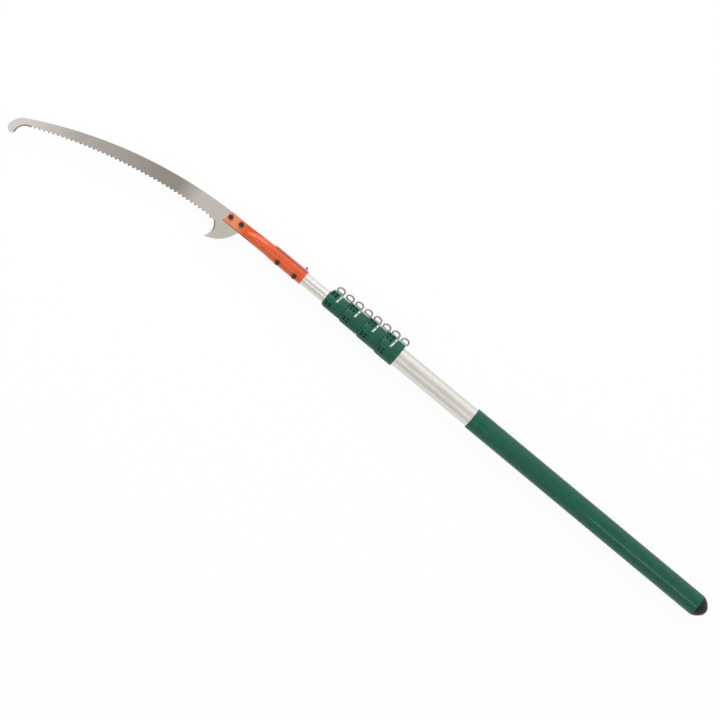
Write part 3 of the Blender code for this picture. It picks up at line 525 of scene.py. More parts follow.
def make_tube(number, metal):
    """A drawn tube with its ends broken, bored for its bolts or eye and for the pin at each stop."""
    radius = TUBE_RADII[number]
    bore = radius - TUBE_WALL
    rear = tube_rear(number)
    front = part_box(f"tube_{number}")[1].x
    edge = TUBE_EDGE
    profile = [(rear, radius - edge), (rear + edge, radius), (front - edge, radius), (front, radius - edge)]
    profile += [(front, bore + edge), (front - edge, bore), (rear + edge, bore), (rear, bore + edge)]
    profile.append(profile[0])
    tube = turned(f"drawn_tube_{number}", profile, hollow=True)
    put(tube, ALONG_X)
    holes = []
    if number == 5:
        for x, y, shank in bolt_places()[2:]:
            holes.append(rod("hole", shank + GAP, (x, y, -radius), (0, 0, 1), 2 * radius))
    else:
        base = (collar_rear(number) + EYE_SETBACK, -radius / 2, 0)
        holes.append(rod("hole", SHANK_RADIUS + GAP, base, (0, -1, 0), radius))
    if number > 1:
        for stop in LOCK_STOPS:
            base = (collar_rear(number - 1) + LOCK_SETBACK - stop, -radius / 2, 0)
            holes.append(rod("hole", PIN_TIP_RADIUS + GAP, base, (0, -1, 0), radius))
    cut(tube, join(holes))
    hand_over(tube, f"tube_{number}", metal)


def make_tube_plug(number, black):
    """The plug in a tube's rear end: a flange and a spigot with a lead."""
    radius = TUBE_RADII[number]
    seat = tube_rear(number) - GAP
    spigot = radius - TUBE_WALL - GAP
    profile = [
        (seat - PLUG_FLANGE, radius - PLUG_EDGE),
        (seat - PLUG_FLANGE + PLUG_EDGE, radius),
        (seat, radius),
        (seat, spigot),
        (seat + PLUG_LENGTH - MM, spigot),
        (seat + PLUG_LENGTH, spigot - 0.6 * MM),
    ]
    plug = turned(f"moulded_plug_{number}", profile, 64)
    put(plug, ALONG_X)
    hand_over(plug, f"tube_plug_{number}", black)


# Grip

SLEEVE_FRONT = 501.0 * MM
SLEEVE_RADIUS = 19.0 * MM
SLEEVE_RIM = 0.9 * MM
CAP_FACE = (0, 5.5 * MM)  # station and radius of the face's edge
CAP_SHOULDER = (17.3 * MM, 18.7 * MM)
CAP_BULGE = 2.2 * MM
CAP_SPIGOT = (15.5 * MM, 36.3 * MM)  # radius, and station where its lead starts


def make_grip(vinyl):
    """The sleeve on the grip tube, with rounded rims."""
    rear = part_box("grip_sleeve")[0].x
    bore = TUBE_RADII[1] + GAP
    rim = SLEEVE_RIM
    shoulder = SLEEVE_RADIUS - rim
    profile = [(rear, bore), (rear, shoulder)]
    profile += quarter((rear + rim, shoulder), (rim, rim), 180, 4)[1:]
    profile += quarter((SLEEVE_FRONT - rim, shoulder), (rim, rim), 90, 4)
    profile += [(SLEEVE_FRONT, bore), (rear, bore)]
    sleeve = turned("shrunk_sleeve", profile, hollow=True)
    put(sleeve, ALONG_X)
    hand_over(sleeve, "grip_sleeve", vinyl)


def circle(start, end, sag):
    """Centre and radius of the circle through start and end, with its forward and right.

    A positive sag bulges to the right.
    """
    start = Vector(start)
    end = Vector(end)
    chord = end - start
    half = chord.length / 2
    right = Vector((chord.y, -chord.x)).normalized()
    if sag < 0:
        right = -right
    radius = (half * half + sag * sag) / (2 * abs(sag))
    centre = (start + end) / 2 + right * (abs(sag) - radius)
    return centre, radius, chord.normalized(), right


def arc(start, end, sag, steps):
    """Points of a circular arc from start to end, without its start."""
    centre, radius, forward, right = circle(start, end, sag)
    reach = math.asin((Vector(end) - Vector(start)).length / 2 / radius)
    points = []
    for i in range(1, steps + 1):
        angle = -reach + 2 * reach * i / steps
        points.append(centre + right * radius * math.cos(angle) + forward * radius * math.sin(angle))
    return points


def make_end_cap(black):
    """A blunt cone with a full side, a softened face and a spigot in the grip tube."""
    side = arc(CAP_FACE, CAP_SHOULDER, -CAP_BULGE, 20)
    profile = [(0, CAP_FACE[1] - 0.6 * MM), (0.1 * MM, CAP_FACE[1])] + [(p.x, p.y) for p in side[:-1]]
    end, shoulder = CAP_SHOULDER
    spigot, lead = CAP_SPIGOT
    profile += [(end - 0.25 * MM, shoulder - 0.06 * MM), (end, shoulder - 0.3 * MM), (end, spigot)]
    profile += [(lead, spigot), (lead + MM, spigot - 0.6 * MM)]
    cap = turned("moulded_end_cap", profile)
    put(cap, ALONG_X)
    hand_over(cap, "end_cap", black)


# Collars

POCKET_ROWS = (  # share of the collar's radius off the axis, width
    (-1.02, 1.9 * MM),
    (-0.64, 3.6 * MM),
    (0.34, 2.6 * MM),
    (0.59, 2.6 * MM),
)
LOW_TOP_ROW = -0.92  # the top row on the last collar
POCKET_HALF = 2.1 * MM
POCKET_SETBACKS = (5.9 * MM, 13.0 * MM)
POCKET_WALL = 0.6 * MM
RIDGE_ENDS = {1: 0.2 * MM, 2: 0.2 * MM, 3: 0.2 * MM, 4: -1.2 * MM}  # past the collar's front end
RIDGE_BASE = 0.75  # share of the collar's radius where the ridge starts inside the band


def collar_body(number):
    """The band: a turned ring with a soft heel and a front end that tapers to the next collar."""
    outer = collar_radius(number)
    inner = outer - 6 * MM  # anywhere within the band: it is bored later
    profile = [(0, inner)]
    profile += quarter((COLLAR_HEEL, outer - COLLAR_HEEL), (COLLAR_HEEL, COLLAR_HEEL), 180, 3)
    nose = (COLLAR_LENGTH - COLLAR_NOSE, outer)
    front = outer - NOSE_DROPS[number]
    profile += [nose, *arc(nose, (COLLAR_LENGTH - 0.2 * MM, front + 0.25 * MM), -0.3 * MM, 8)]
    profile.append((COLLAR_LENGTH, front))
    if number < 4:
        lip = TUBE_RADII[number + 1] + GAP + COLLAR_LIP
        tip = COLLAR_LENGTH + COLLAR_LAP
        profile += [(COLLAR_LENGTH, lip), (tip - 0.2 * MM, lip), (tip, lip - 0.2 * MM)]
    profile.append((profile[-1][0], inner))
    return turned(f"moulded_collar_{number}", profile)


def collar_ridges(number):
    """The ridge that carries the rings: sloped sides over the rear band, upright ones over the front."""
    outer = collar_radius(number)
    top = -(outer + RIDGE_HEIGHT)
    base = -RIDGE_BASE * outer
    edge = math.sqrt(outer * outer - RIDGE_HALF * RIDGE_HALF)
    start = 0.02 * MM

    def top_side(a, b):
        return min(abs(a.z), abs(b.z)) > 8 * MM and max(a.y, b.y) < top + 0.1 * MM and a.z * b.z > 0

    low = (start, -edge + 0.5 * MM, -RIDGE_HALF)
    rear = block("rear_ridge", low, (SLOT_MIDDLE, top, RIDGE_HALF))
    mode("EDIT")
    pick("VERT", lambda co: co.y < top + 0.1 * MM)
    narrow = RIDGE_TOP_HALF / RIDGE_HALF
    bpy.ops.transform.resize(value=(1, 1, narrow), center_override=(0, top, 0))
    mode("OBJECT")
    sole = block("rear_sole", (start, base, -RIDGE_HALF), (SLOT_MIDDLE, -edge + 0.6 * MM, RIDGE_HALF))
    end = COLLAR_LENGTH + RIDGE_ENDS[number]
    rake = RIDGE_RAKE if number == 4 else 0
    front = block("front_ridge", (SLOT_MIDDLE, base, -RIDGE_HALF), (end, top, RIDGE_HALF))
    mode("EDIT")
    pick("VERT", lambda co: co.y < top + 0.1 * MM and co.x > end - 0.1 * MM)
    bpy.ops.transform.translate(value=(rake * (top - base), 0, 0))
    mode("OBJECT")
    apply_modifier(rear, "BEVEL", width=0.5 * MM, segments=2, limit_method="ANGLE")
    mode("EDIT")
    pick("EDGE", top_side)
    bpy.ops.mesh.bevel(offset=1.4 * MM, segments=3, affect="EDGES")
    mode("OBJECT")
    return rear, sole, front


def collar_cutters(number):
    """The slot between the bands, the cored pockets and the holes for ring and pin."""
    outer = collar_radius(number)
    reach = outer + 6 * MM
    low = (-SLOT_WIDTH / 2, -reach, -2 * reach)
    slot = block("slot", low, (SLOT_WIDTH / 2, -SLOT_FLOOR, 2 * reach))
    put(slot, Matrix.Translation((0, outer, 0)))
    put(slot, Matrix.Translation((SLOT_MIDDLE, -outer, 0)) @ Matrix.Rotation(-SLOT_LEAN, 4, "Z"))
    low = (-MM, -reach, -GROOVE_HALF)
    high = (COLLAR_LENGTH + MM, -eye_floor(number), GROOVE_HALF)
    tools = [slot, block("groove", low, high)]
    bore = TUBE_RADII[number + 1] + GAP + POCKET_WALL
    for share, width in POCKET_ROWS:
        if number == 4:
            share = max(share, LOW_TOP_ROW)
        offset = share * outer
        inner = abs(offset) - width / 2
        floor = max(math.sqrt(max(0, bore * bore - inner * inner)), PIN_HOLE + POCKET_WALL)
        drift = math.tan(SLOT_LEAN) * (offset + outer) if offset < 0 else 0
        for setback in POCKET_SETBACKS:
            middle = COLLAR_LENGTH - setback + drift
            for bottom, top in ((floor, reach), (-reach, -floor)):
                low = (middle - POCKET_HALF, offset - width / 2, bottom)
                high = (middle + POCKET_HALF, offset + width / 2, top)
                tools.append(block("pocket", low, high, 0.4 * MM))
    for setback, radius in ((EYE_SETBACK, SHANK_RADIUS + GAP), (LOCK_SETBACK, PIN_HOLE)):
        tools.append(rod("hole", radius, (setback, -outer / 2, 0), (0, -1, 0), outer))
    return tools


def make_collar(number, nylon):
    """Band and ridges joined, bored for both tubes, slotted and cored."""
    collar = collar_body(number)
    put(collar, ALONG_X)
    for ridge in collar_ridges(number):
        cut(collar, ridge, "UNION")
    seat = TUBE_RADII[number] + GAP
    way = TUBE_RADII[number + 1] + GAP
    bore = [(-2 * MM, seat), (COLLAR_SEAT, seat), (COLLAR_SEAT, way), (COLLAR_LENGTH + 2 * MM, way)]
    if number > 1:
        counter = seat + COLLAR_LIP + GAP
        depth = COLLAR_LAP - 0.1 * MM
        bore[:1] = [(-2 * MM, counter), (depth, counter), (depth, seat)]
    hollow = turned("bore", bore)
    put(hollow, ALONG_X)
    cut(collar, hollow)
    for tool in collar_cutters(number):
        cut(collar, tool)
    put(collar, Matrix.Translation((collar_rear(number), 0, 0)))
    hand_over(collar, f"collar_{number}", nylon)


# Fixing eyes, pull rings and bushes

LEG_DIP = 0.6 * MM  # below the collar's outside
LEG_RADIUS = 0.8 * MM
PIN_TIP_LENGTH = 0.6 * MM
PIN_FLANGE = 0.8 * MM
PIN_FLANGE_RADIUS = 2.8 * MM
PIN_ROOM = 2.8 * MM  # for the pin's travel and its spring pressed flat
BUSH_WALL = 0.6 * MM
BUSH_EDGE = 0.2 * MM


def wire_ring(name, number):
    """A ring of bent wire, oval above and squarer where it stands, with its shank's axis on local Z."""
    upright = (math.pi / 2, 0, 0)
    ring = begin(name, bpy.ops.mesh.primitive_circle_add, vertices=48, radius=1, rotation=upright)
    settle(ring)
    for vertex in ring.data.vertices:
        across, up = vertex.co.x, vertex.co.z
        if up < 0:
            across = math.copysign(abs(across) ** EYE_SQUARENESS, across)
            up = -(abs(up) ** EYE_SQUARENESS)
        vertex.co = (EYE_HALF[0] * across, 0, EYE_HALF[1] * up)
    bpy.ops.object.convert(target="CURVE")
    ring = bpy.context.object
    ring.data.bevel_depth = EYE_WIRE
    ring.data.bevel_resolution = 4
    bpy.ops.object.convert(target="MESH")
    ring = bpy.context.object
    put(ring, Matrix.Translation((0, 0, eye_middle(number))))
    face_out(ring)
    return ring


def make_eye(name, node, number, setback, shank, metal, leg=False):
    """A ring on its shank, which narrows to the wire. A pull ring has a leg beside it."""
    ring = wire_ring(name, number)
    foot = eye_floor(number) + GAP
    neck = eye_middle(number) - EYE_HALF[1]
    profile = shank + [(foot, SHANK_RADIUS), (foot + 0.8 * MM, 1.8 * MM), (neck, 1.6 * MM)]
    cut(ring, turned("shank", profile, 32), "UNION")
    if leg:
        low = collar_radius(number) - LEG_DIP
        profile = [(low, LEG_RADIUS / 2), (low + LEG_RADIUS / 2, LEG_RADIUS)]
        wire = turned("leg", [*profile, (eye_middle(number), LEG_RADIUS)], 24)
        put(wire, Matrix.Translation((LEG_PLACE, 0, 0)))
        cut(ring, wire, "UNION")
    put(ring, Matrix.Translation((collar_rear(number) + setback, 0, 0)) @ OUT_OF_COLLAR)
    hand_over(ring, node, metal, 40)


def make_rings(number, metal, brass):
    """A collar's fixing eye, and its lock pin with the pull ring and the bush that guides it."""
    tip = TUBE_RADII[number] - TUBE_WALL + GAP
    shank = [(tip, SHANK_RADIUS - 0.4 * MM), (tip + 0.4 * MM, SHANK_RADIUS)]
    make_eye(f"wire_eye_{number}", f"fixing_eye_{number}", number, EYE_SETBACK, shank, metal)
    tip = TUBE_RADII[number + 1] + GAP
    flange = tip + PIN_TIP_LENGTH
    flange_top = flange + PIN_FLANGE
    radius = PIN_TIP_RADIUS
    shank = [(tip, radius - 0.4 * MM), (tip + 0.4 * MM, radius), (flange, radius)]
    radius = PIN_FLANGE_RADIUS
    shank += [(flange, radius), (flange_top, radius), (flange_top, SHANK_RADIUS)]
    make_eye(f"pull_ring_{number}", f"lock_pin_{number}", number, LOCK_SETBACK, shank, metal, leg=True)
    top = eye_floor(number)
    foot = flange_top + PIN_ROOM
    bore = SHANK_RADIUS + GAP
    outside = bore + BUSH_WALL
    rim = top - BUSH_EDGE
    profile = [(foot, bore), (foot, outside), (rim, outside), (top, outside - BUSH_EDGE)]
    profile += [(top, bore + BUSH_EDGE), (rim, bore), (foot, bore)]
    bush = turned(f"turned_bush_{number}", profile, 48, hollow=True)
    put(bush, Matrix.Translation((collar_rear(number) + LOCK_SETBACK, 0, 0)) @ OUT_OF_COLLAR)
    hand_over(bush, f"pin_bush_{number}", brass)


# Socket

SHELL_RADIUS = 11.3 * MM
GRIP_END = 925.8 * MM
NOSE_START = 933.8 * MM
NOSE_LENGTH = 51 * MM
NOSE_FULLNESS = 0.5
SHELL_RISE = 11.1 * MM  # over its seam
NOSE_END = (-2.6 * MM, 7.6 * MM, 5.0 * MM)  # where the round part runs out: to the back, belly, middle
CHEEK = (9.3 * MM, 11.5 * MM)  # edges, to the back and the belly
CHEEK_LIFTS = (957.8 * MM, 967.7 * MM)  # where the edges rise from the seam to the blade's flats
NECK = 0.7 * MM  # how much narrower the nose is than the grip
LIP = 0.1 * MM
FLANGE = 1.1 * MM  # of the far shell, beside the seam on the back
PAD_RADIUS = 5.0 * MM
PAD_TOP = 11.8 * MM
CLAMP_OFFSET = 8.1 * MM
CREASE_END = GRIP_END + 6 * MM
CREASE_TURN = math.radians(54)
CREASE_RADIUS = 0.4 * MM
SEAM = 0.2 * MM  # half the gap between the shells


def blend(a, b, share):
    return a + (b - a) * share


def ease(value, low, high):
    """0 below low and 1 above high, with a smooth way between."""
    share = min(1, max(0, (value - low) / (high - low)))
    return share * share * (3 - 2 * share)


def crease_place():
    """Across and up, on the near shell's back."""
    middle = SHELL_RADIUS + SHEET
    return -middle * math.sin(CREASE_TURN), middle * math.cos(CREASE_TURN)


def socket_stations():
    """From the rear: station, and how far along the nose it lies."""
    stations = [(blend(SOCKET_REAR, GRIP_END, i / 30), 0) for i in range(30)]
    stations += [(blend(GRIP_END, NOSE_START, i / 6), 0) for i in range(6)]
    for i in range(33):
        along = math.sin(math.pi / 2 * i / 32)
        stations.append((NOSE_START + NOSE_LENGTH * along, along))
    cheek = NOSE_START + NOSE_LENGTH
    stations += [(blend(cheek, SOCKET_FRONT, i / 8), 1) for i in range(1, 9)]
    return stations


def shell_line(station, along, flange):
    """The outside of a shell across the station, from the back's edge to the belly's."""
    half = SHELL_RADIUS + SHEET - NECK * ease(station, GRIP_END, NOSE_START)
    back = blend(half + LIP, CHEEK[0], along)
    belly = blend(half + LIP, CHEEK[1], along)
    left = math.sqrt(max(0, 1 - along * along))
    share = left ** (2 * NOSE_FULLNESS)
    reach_back = blend(NOSE_END[0], back - LIP, left)
    reach_belly = blend(NOSE_END[1], belly - LIP, left)
    middle = blend(NOSE_END[2], 0, left)
    foot = blend(SEAM, BLADE_HALF + GAP, ease(station, *CHEEK_LIFTS)) + SHEET
    height = SHELL_RISE * share
    edge = -back - flange * (1 - ease(station, GRIP_END, NOSE_START))
    line = [(edge, foot), (blend(edge, -reach_back, 0.6), foot)]
    line += quarter((middle, foot), (reach_back + middle, height), 180, 20)
    line += quarter((middle, foot), (reach_belly - middle, height), 90, 20)[1:]
    line += [(blend(reach_belly, belly, 0.4), foot), (belly, foot)]
    slant = 0.2 * ease(station, NOSE_START + NOSE_LENGTH, SOCKET_FRONT)
    return [Vector((station + slant * y, y, z)) for y, z in line]


def pad_rods(side, radius, base, top, rounding=0.0):
    """A rod under each clamp bolt, square to the blade's flat."""
    rods = []
    for x, y, _ in bolt_places()[2:]:
        profile = [(base, radius), (top - rounding, radius), (top, radius - rounding)]
        pad = turned("pad", profile, 40)
        put(pad, Matrix.Translation((x, y, 0)) @ Matrix.Rotation(0 if side > 0 else math.pi, 4, "X"))
        rods.append(pad)
    return join(rods)


def make_shell(name, node, side, flange, enamel):
    """Pressed from sheet: a flat blank drawn up along the stations, then given its thickness and pads."""
    lines = [shell_line(station, along, flange) for station, along in socket_stations()]
    along = len(lines) - 1
    across = len(lines[0]) - 1
    grid = {"x_subdivisions": along, "y_subdivisions": across, "size": 2}
    shell = begin(name, bpy.ops.mesh.primitive_grid_add, **grid)
    for vertex in shell.data.vertices:
        i = round((vertex.co.x + 1) / 2 * along)
        j = round((vertex.co.y + 1) / 2 * across)
        point = lines[i][j]
        vertex.co = (point.x, point.y, side * point.z)
    face_out(shell)
    up = sum(face.normal.z * face.area for face in shell.data.polygons)
    if up * side < 0:
        shell.data.flip_normals()
    apply_modifier(shell, "SOLIDIFY", thickness=SHEET, offset=-1)
    pads = pad_rods(side, PAD_RADIUS, SEAM, PAD_TOP, 0.5 * MM)
    base = (SOCKET_REAR, 0, 0)
    cut(pads, rod("room", SHELL_RADIUS + SHEET / 2, base, (1, 0, 0), GRIP_END - SOCKET_REAR, 96))
    cut(shell, pads, "UNION")
    cut(shell, pad_rods(side, PAD_RADIUS - SHEET, 0, PAD_TOP - SHEET))
    holes = []
    for x, y, radius in bolt_places():
        holes.append(rod("hole", radius + GAP, (x, y, 0), (0, 0, side), 24 * MM))
    if side < 0:
        base = lock_place() + lock_direction() * SHELL_RADIUS / 2
        holes.append(rod("hole", LOCK_RADIUS + GAP, base, lock_direction(), SHELL_RADIUS))
    cut(shell, join(holes))
    if side > 0:
        base = (SOCKET_REAR - MM, *crease_place())
        cut(shell, rod("crease", CREASE_RADIUS, base, (1, 0, 0), CREASE_END - SOCKET_REAR, 16))
    hand_over(shell, node, enamel, 40)


def bolt_places():
    """Along and across: both blade bolts, then both clamp bolts, each with its shank's radius."""
    return (
        (BLADE_ORIGIN, -0.8 * MM, 2.5 * MM),
        (996.9 * MM, -2.3 * MM, 2.5 * MM),
        (875.5 * MM, CLAMP_OFFSET, 2.0 * MM),
        (911.1 * MM, CLAMP_OFFSET, 2.0 * MM),
    )


def lock_place():
    """Where the lock screw's axis meets the pole's."""
    return Vector((868.4 * MM, 0, 0))


def lock_direction():
    """Outwards from the back, 30 degrees towards the far side."""
    return Vector((0, -math.cos(math.radians(30)), -0.5))


# Bolts, nuts and the lock screw

HEX_ACROSS = 8.0 * MM
HEAD_HEIGHT = 3.0 * MM
NUT_HEIGHT = 3.6 * MM
CHEEK_SEAT = 2.15 * MM  # of a blade bolt's head, off the blade's middle
PAD_SEAT = 12.1 * MM  # of a clamp bolt's head
BOLT_REST = 5.1 * MM  # of a bolt past both seats: its nut and nearly two turns of thread
THREAD_LENGTH = 5 * MM
THREAD_PITCH = 0.8 * MM
LOCK_RADIUS = 2.0 * MM
LOCK_LENGTH = 8.7 * MM
LOCK_NUT = (7.0 * MM, 3.0 * MM, 2.3 * MM)  # across its flats, its height and its bore
LOCK_NUT_SEAT = 12.8 * MM


def thread(name, radius, base, length, pitch):
    """A threaded end round Z: a rod of many rings whose points follow the thread's helix."""
    rings = round(length / pitch * 6)
    profile = [(base + length * i / rings, radius) for i in range(rings + 1)]
    screw = turned(name, profile, 24)
    depth = 0.48 * pitch
    for vertex in screw.data.vertices:
        x, y, z = vertex.co
        turn = (z / pitch - math.atan2(y, x) / (2 * math.pi)) % 1
        valley = abs(turn - 0.5) * 2
        taper = min(1, (base + length - z) / pitch, (z - base) / pitch + 0.2)
        new = radius - depth * (1 - taper * (1 - valley))
        scale = new / math.hypot(x, y) if math.hypot(x, y) > 0.1 * MM else 1
        vertex.co = (x * scale, y * scale, z)
    return screw


def hexagon_blank(name, across, low, high, chamfer):
    """A hexagon with its corners turned off by a cone at one or both ends."""
    blank = turned(name, [(low, across / math.sqrt(3)), (high, across / math.sqrt(3))], 6)
    corner = across / math.sqrt(3) + 0.2 * MM
    flat = across / 2 * 0.97
    rise = (corner - flat) * 0.55
    profile = [(high - rise, corner), (high, flat)]
    profile = [(low, flat), (low + rise, corner)] + profile if chamfer else [(low, corner)] + profile
    cut(blank, turned("turning", profile, 48), "INTERSECT")
    return blank


def make_bolt(name, node, x, y, radius, seat, metal):
    """A hexagon head, a plain shank and a thread, which overlap so that they join."""
    head = hexagon_blank(name, HEX_ACROSS, seat, seat + HEAD_HEIGHT, False)
    bottom = -seat - BOLT_REST
    shank = turned("shank", [(bottom + THREAD_LENGTH - MM, radius), (seat + 0.5 * MM, radius)], 32)
    cut(head, shank, "UNION")
    cut(head, thread("thread", radius, bottom, THREAD_LENGTH, THREAD_PITCH), "UNION")
    put(head, Matrix.Translation((x, y, 0)))
    hand_over(head, node, metal)


def make_nut(name, node, place, across, height, bore, metal):
    """A hexagon nut, chamfered outside and at both ends of its bore."""
    nut = hexagon_blank(name, across, 0, height, True)
    wide = bore + 0.5 * MM
    profile = [(-0.1 * MM, wide), (0.4 * MM, bore), (height - 0.4 * MM, bore), (height + 0.1 * MM, wide)]
    cut(nut, turned("bore", profile, 32))
    put(nut, place)
    hand_over(nut, node, metal)


def make_fasteners(dark, zinc):
    """Four bolts with their nuts, and the lock screw with its own."""
    labels = ("blade_1", "blade_2", "clamp_1", "clamp_2")
    for label, (x, y, radius) in zip(labels, bolt_places()):
        seat = CHEEK_SEAT if label.startswith("blade") else PAD_SEAT
        make_bolt(f"hex_bolt_{label}", f"{label}_bolt", x, y, radius, seat, dark)
        place = Matrix.Translation((x, y, -seat - NUT_HEIGHT))
        make_nut(f"hex_nut_{label}", f"{label}_nut", place, HEX_ACROSS, NUT_HEIGHT, radius + GAP, dark)
    turn = lock_direction().to_track_quat("Z", "Y").to_matrix().to_4x4()
    screw = thread("set_screw", LOCK_RADIUS, SHELL_RADIUS, LOCK_LENGTH, THREAD_PITCH)
    cut(screw, turned("socket", [(18.4 * MM, 1.15 * MM), (21 * MM, 1.15 * MM)], 6))
    put(screw, Matrix.Translation(lock_place()) @ turn)
    hand_over(screw, "socket_lock_screw", dark)
    place = Matrix.Translation(lock_place() + lock_direction() * LOCK_NUT_SEAT) @ turn
    make_nut("lock_nut", "socket_lock_nut", place, *LOCK_NUT, zinc)


# Blade

TOOTH_COUNT = 41
PLAIN = (0.12 * MM, 0.12 * MM, BLADE_HALF - 0.12 * MM, -BLADE_HALF + 0.12 * MM)
KNIFE = (2.0 * MM, 2.0 * MM, 0.08 * MM, -0.08 * MM)


def tooth_marks(start, end):
    """Gullets, flanks and points along the teeth's arc, each with how its edge is ground.

    A mark is a point, its insets on the near and far faces, and the heights of its edge's two sides.
    """
    line = [Vector(start)] + arc(start, end, TEETH_SAG, 120)
    lengths = [0]
    for a, b in zip(line, line[1:]):
        lengths.append(lengths[-1] + (b - a).length)

    def on_line(share, depth):
        goal = share * lengths[-1]
        i = max(k for k in range(len(line) - 1) if lengths[k] <= goal)
        forward = (line[i + 1] - line[i]).normalized()
        into_blade = Vector((forward.y, -forward.x))
        return line[i] + forward * (goal - lengths[i]) - into_blade * depth

    marks = []
    low = BLADE_HALF - 0.1 * MM
    for i in range(TOOTH_COUNT):
        near = i % 2 == 0
        for share, depth, inset in ((0, 3.2, 0.12), (0.3, 1.6, 0.7), (0.6, 0, 1.5), (0.8, 1.6, 0.7)):
            point = on_line((i + share) / TOOTH_COUNT, depth * MM)
            if depth == 3.2:
                marks.append((point, *PLAIN))
            elif near:
                marks.append((point, inset * MM, 0.05 * MM, -low + 0.08 * MM, -low))
            else:
                marks.append((point, 0.05 * MM, inset * MM, low, low - 0.08 * MM))
    marks.append((on_line(1, 3.2 * MM), *PLAIN))
    return marks


TIP = Vector((360 * MM, 87 * MM))
HOOK_SIDE, HOOK_END, HOOK_POINT, HOOK_ROOT, FIRST_TOOTH = [
    TIP + Vector(p) * MM for p in ((20.4, 27.0), (11.0, 37.5), (4.8, 31.5), (-12.0, 9.2), (-13.5, 8.9))
]
LAST_GULLET = (31.5 * MM, 20.9 * MM)
LAST_TOOTH = (27.5 * MM, 22.4 * MM)
THROAT = (20.5 * MM, 20.3 * MM)
BARK_POINT = (20.6 * MM, 52.0 * MM)
TEETH_SAG = -14.4 * MM
TIP_THROAT_SAG = -5.9 * MM
BARK_THROAT_SAG = -9.6 * MM
REFLECTION_STRETCHES = (  # where the blade is painted lighter as a painted reflection: from and to, and how much lighter there
    (1.12, 1.08, 0.62),
    (1.15, 1.3, 0.38),
    (1.3, 1.375, 0.95),
)
HARDENED_AND_SHADED_EDGES = (  # from, to and sag of the edge's arc, width of the dark band, its ends along and across; on the teeth the band is hardening, in the hooks it is painted bevel shade
    (FIRST_TOOTH, LAST_GULLET, TEETH_SAG, 2.0 * MM, 33 * MM, 346.5 * MM, 200 * MM),
    (HOOK_POINT, HOOK_ROOT, TIP_THROAT_SAG, 2.3 * MM, 346 * MM, 400 * MM, 200 * MM),
    (THROAT, BARK_POINT, BARK_THROAT_SAG, 2.3 * MM, 9.2 * MM, 18 * MM, 37 * MM),
)


def ground_marks(points):
    """Marks along a stretch that is ground to a knife edge, and fades out at both ends."""
    last = len(points) - 1
    return [(p, *ground(min(1, (i + 1) / 3, (last - i) / 9))) for i, p in enumerate(points)]


def blade_marks():
    """Round the blade from its root: along the back, round the tip's hook, the teeth and the bark hook."""
    belly_end = (-25.5 * MM, 10.6 * MM)
    plain = [Vector((-30.6 * MM, -8.9 * MM)), Vector((2.4 * MM, -8.9 * MM))]
    plain += arc(plain[-1], TIP, 21.6 * MM, 72)
    plain += arc(TIP, HOOK_SIDE, 4.7 * MM, 16)
    plain += arc(HOOK_SIDE, HOOK_END, 2.8 * MM, 12)
    plain += arc(HOOK_END, HOOK_POINT, 1.2 * MM, 8)
    marks = [(p, *PLAIN) for p in plain]
    marks += ground_marks(arc(HOOK_POINT, HOOK_ROOT, TIP_THROAT_SAG, 24))
    marks += tooth_marks(FIRST_TOOTH, LAST_GULLET)
    marks.append((Vector(LAST_TOOTH), 0.05 * MM, 0.9 * MM, 0.5 * MM, 0.4 * MM))
    marks.append((Vector(THROAT), *PLAIN))
    marks += ground_marks(arc(THROAT, BARK_POINT, BARK_THROAT_SAG, 28))
    plain = arc(BARK_POINT, belly_end, 9.4 * MM, 28)
    plain += [Vector((-33.6 * MM, 6.0 * MM)), Vector((-33.6 * MM, -5.9 * MM))]
    return marks + [(p, *PLAIN) for p in plain]


def ground(share):
    """The edge's form between a plain one and a knife edge."""
    return [a + (b - a) * share for a, b in zip(PLAIN, KNIFE)]


def make_blade(steel):
    """A plate drawn from its outline, lifted to its thickness in three steps, then ground at its edges."""
    marks = blade_marks()
    count = len(marks)
    ring = {"vertices": count, "radius": 0.1, "fill_type": "NGON"}
    blade = begin("ground_blade", bpy.ops.mesh.primitive_circle_add, **ring)
    for vertex, mark in zip(blade.data.vertices, marks):
        vertex.co = (mark[0].x, mark[0].y, 0)
    mode("EDIT")
    bpy.ops.mesh.select_all(action="SELECT")
    for _ in range(3):
        bpy.ops.mesh.extrude_region_move(TRANSFORM_OT_translate={"value": (0, 0, MM)})
    mode("OBJECT")
    tree = kdtree.KDTree(count)
    for i, mark in enumerate(marks):
        tree.insert((mark[0].x, mark[0].y, 0), i)
    tree.balance()
    area = sum(marks[i - 1][0].cross(marks[i][0]) for i in range(count))
    inwards = []
    for i in range(count):
        before = (marks[i][0] - marks[i - 1][0]).normalized()
        after = (marks[(i + 1) % count][0] - marks[i][0]).normalized()
        along = before + after
        if along.length < 0.01:
            along = after
        inward = Vector((-along.y, along.x)).normalized()
        inwards.append(inward if area > 0 else -inward)
    for vertex in blade.data.vertices:
        layer = round(vertex.co.z / MM)
        i = tree.find((vertex.co.x, vertex.co.y, 0))[1]
        point, near, far, high, low = marks[i]
        inset = (far, 0, 0, near)[layer]
        spot = point + inwards[i] * inset
        vertex.co = (spot.x, spot.y, (-BLADE_HALF, low, high, BLADE_HALF)[layer])
    put(blade, Matrix.Translation((BLADE_ORIGIN, 0, 0)))
    face_out(blade)
    holes = [rod("hole", r + GAP, (x, y, -2 * MM), (0, 0, 1), 4 * MM) for x, y, r in bolt_places()[:2]]
    cut(blade, join(holes))
    hand_over(blade, "saw_blade", steel, 12)


# Studio, light and camera

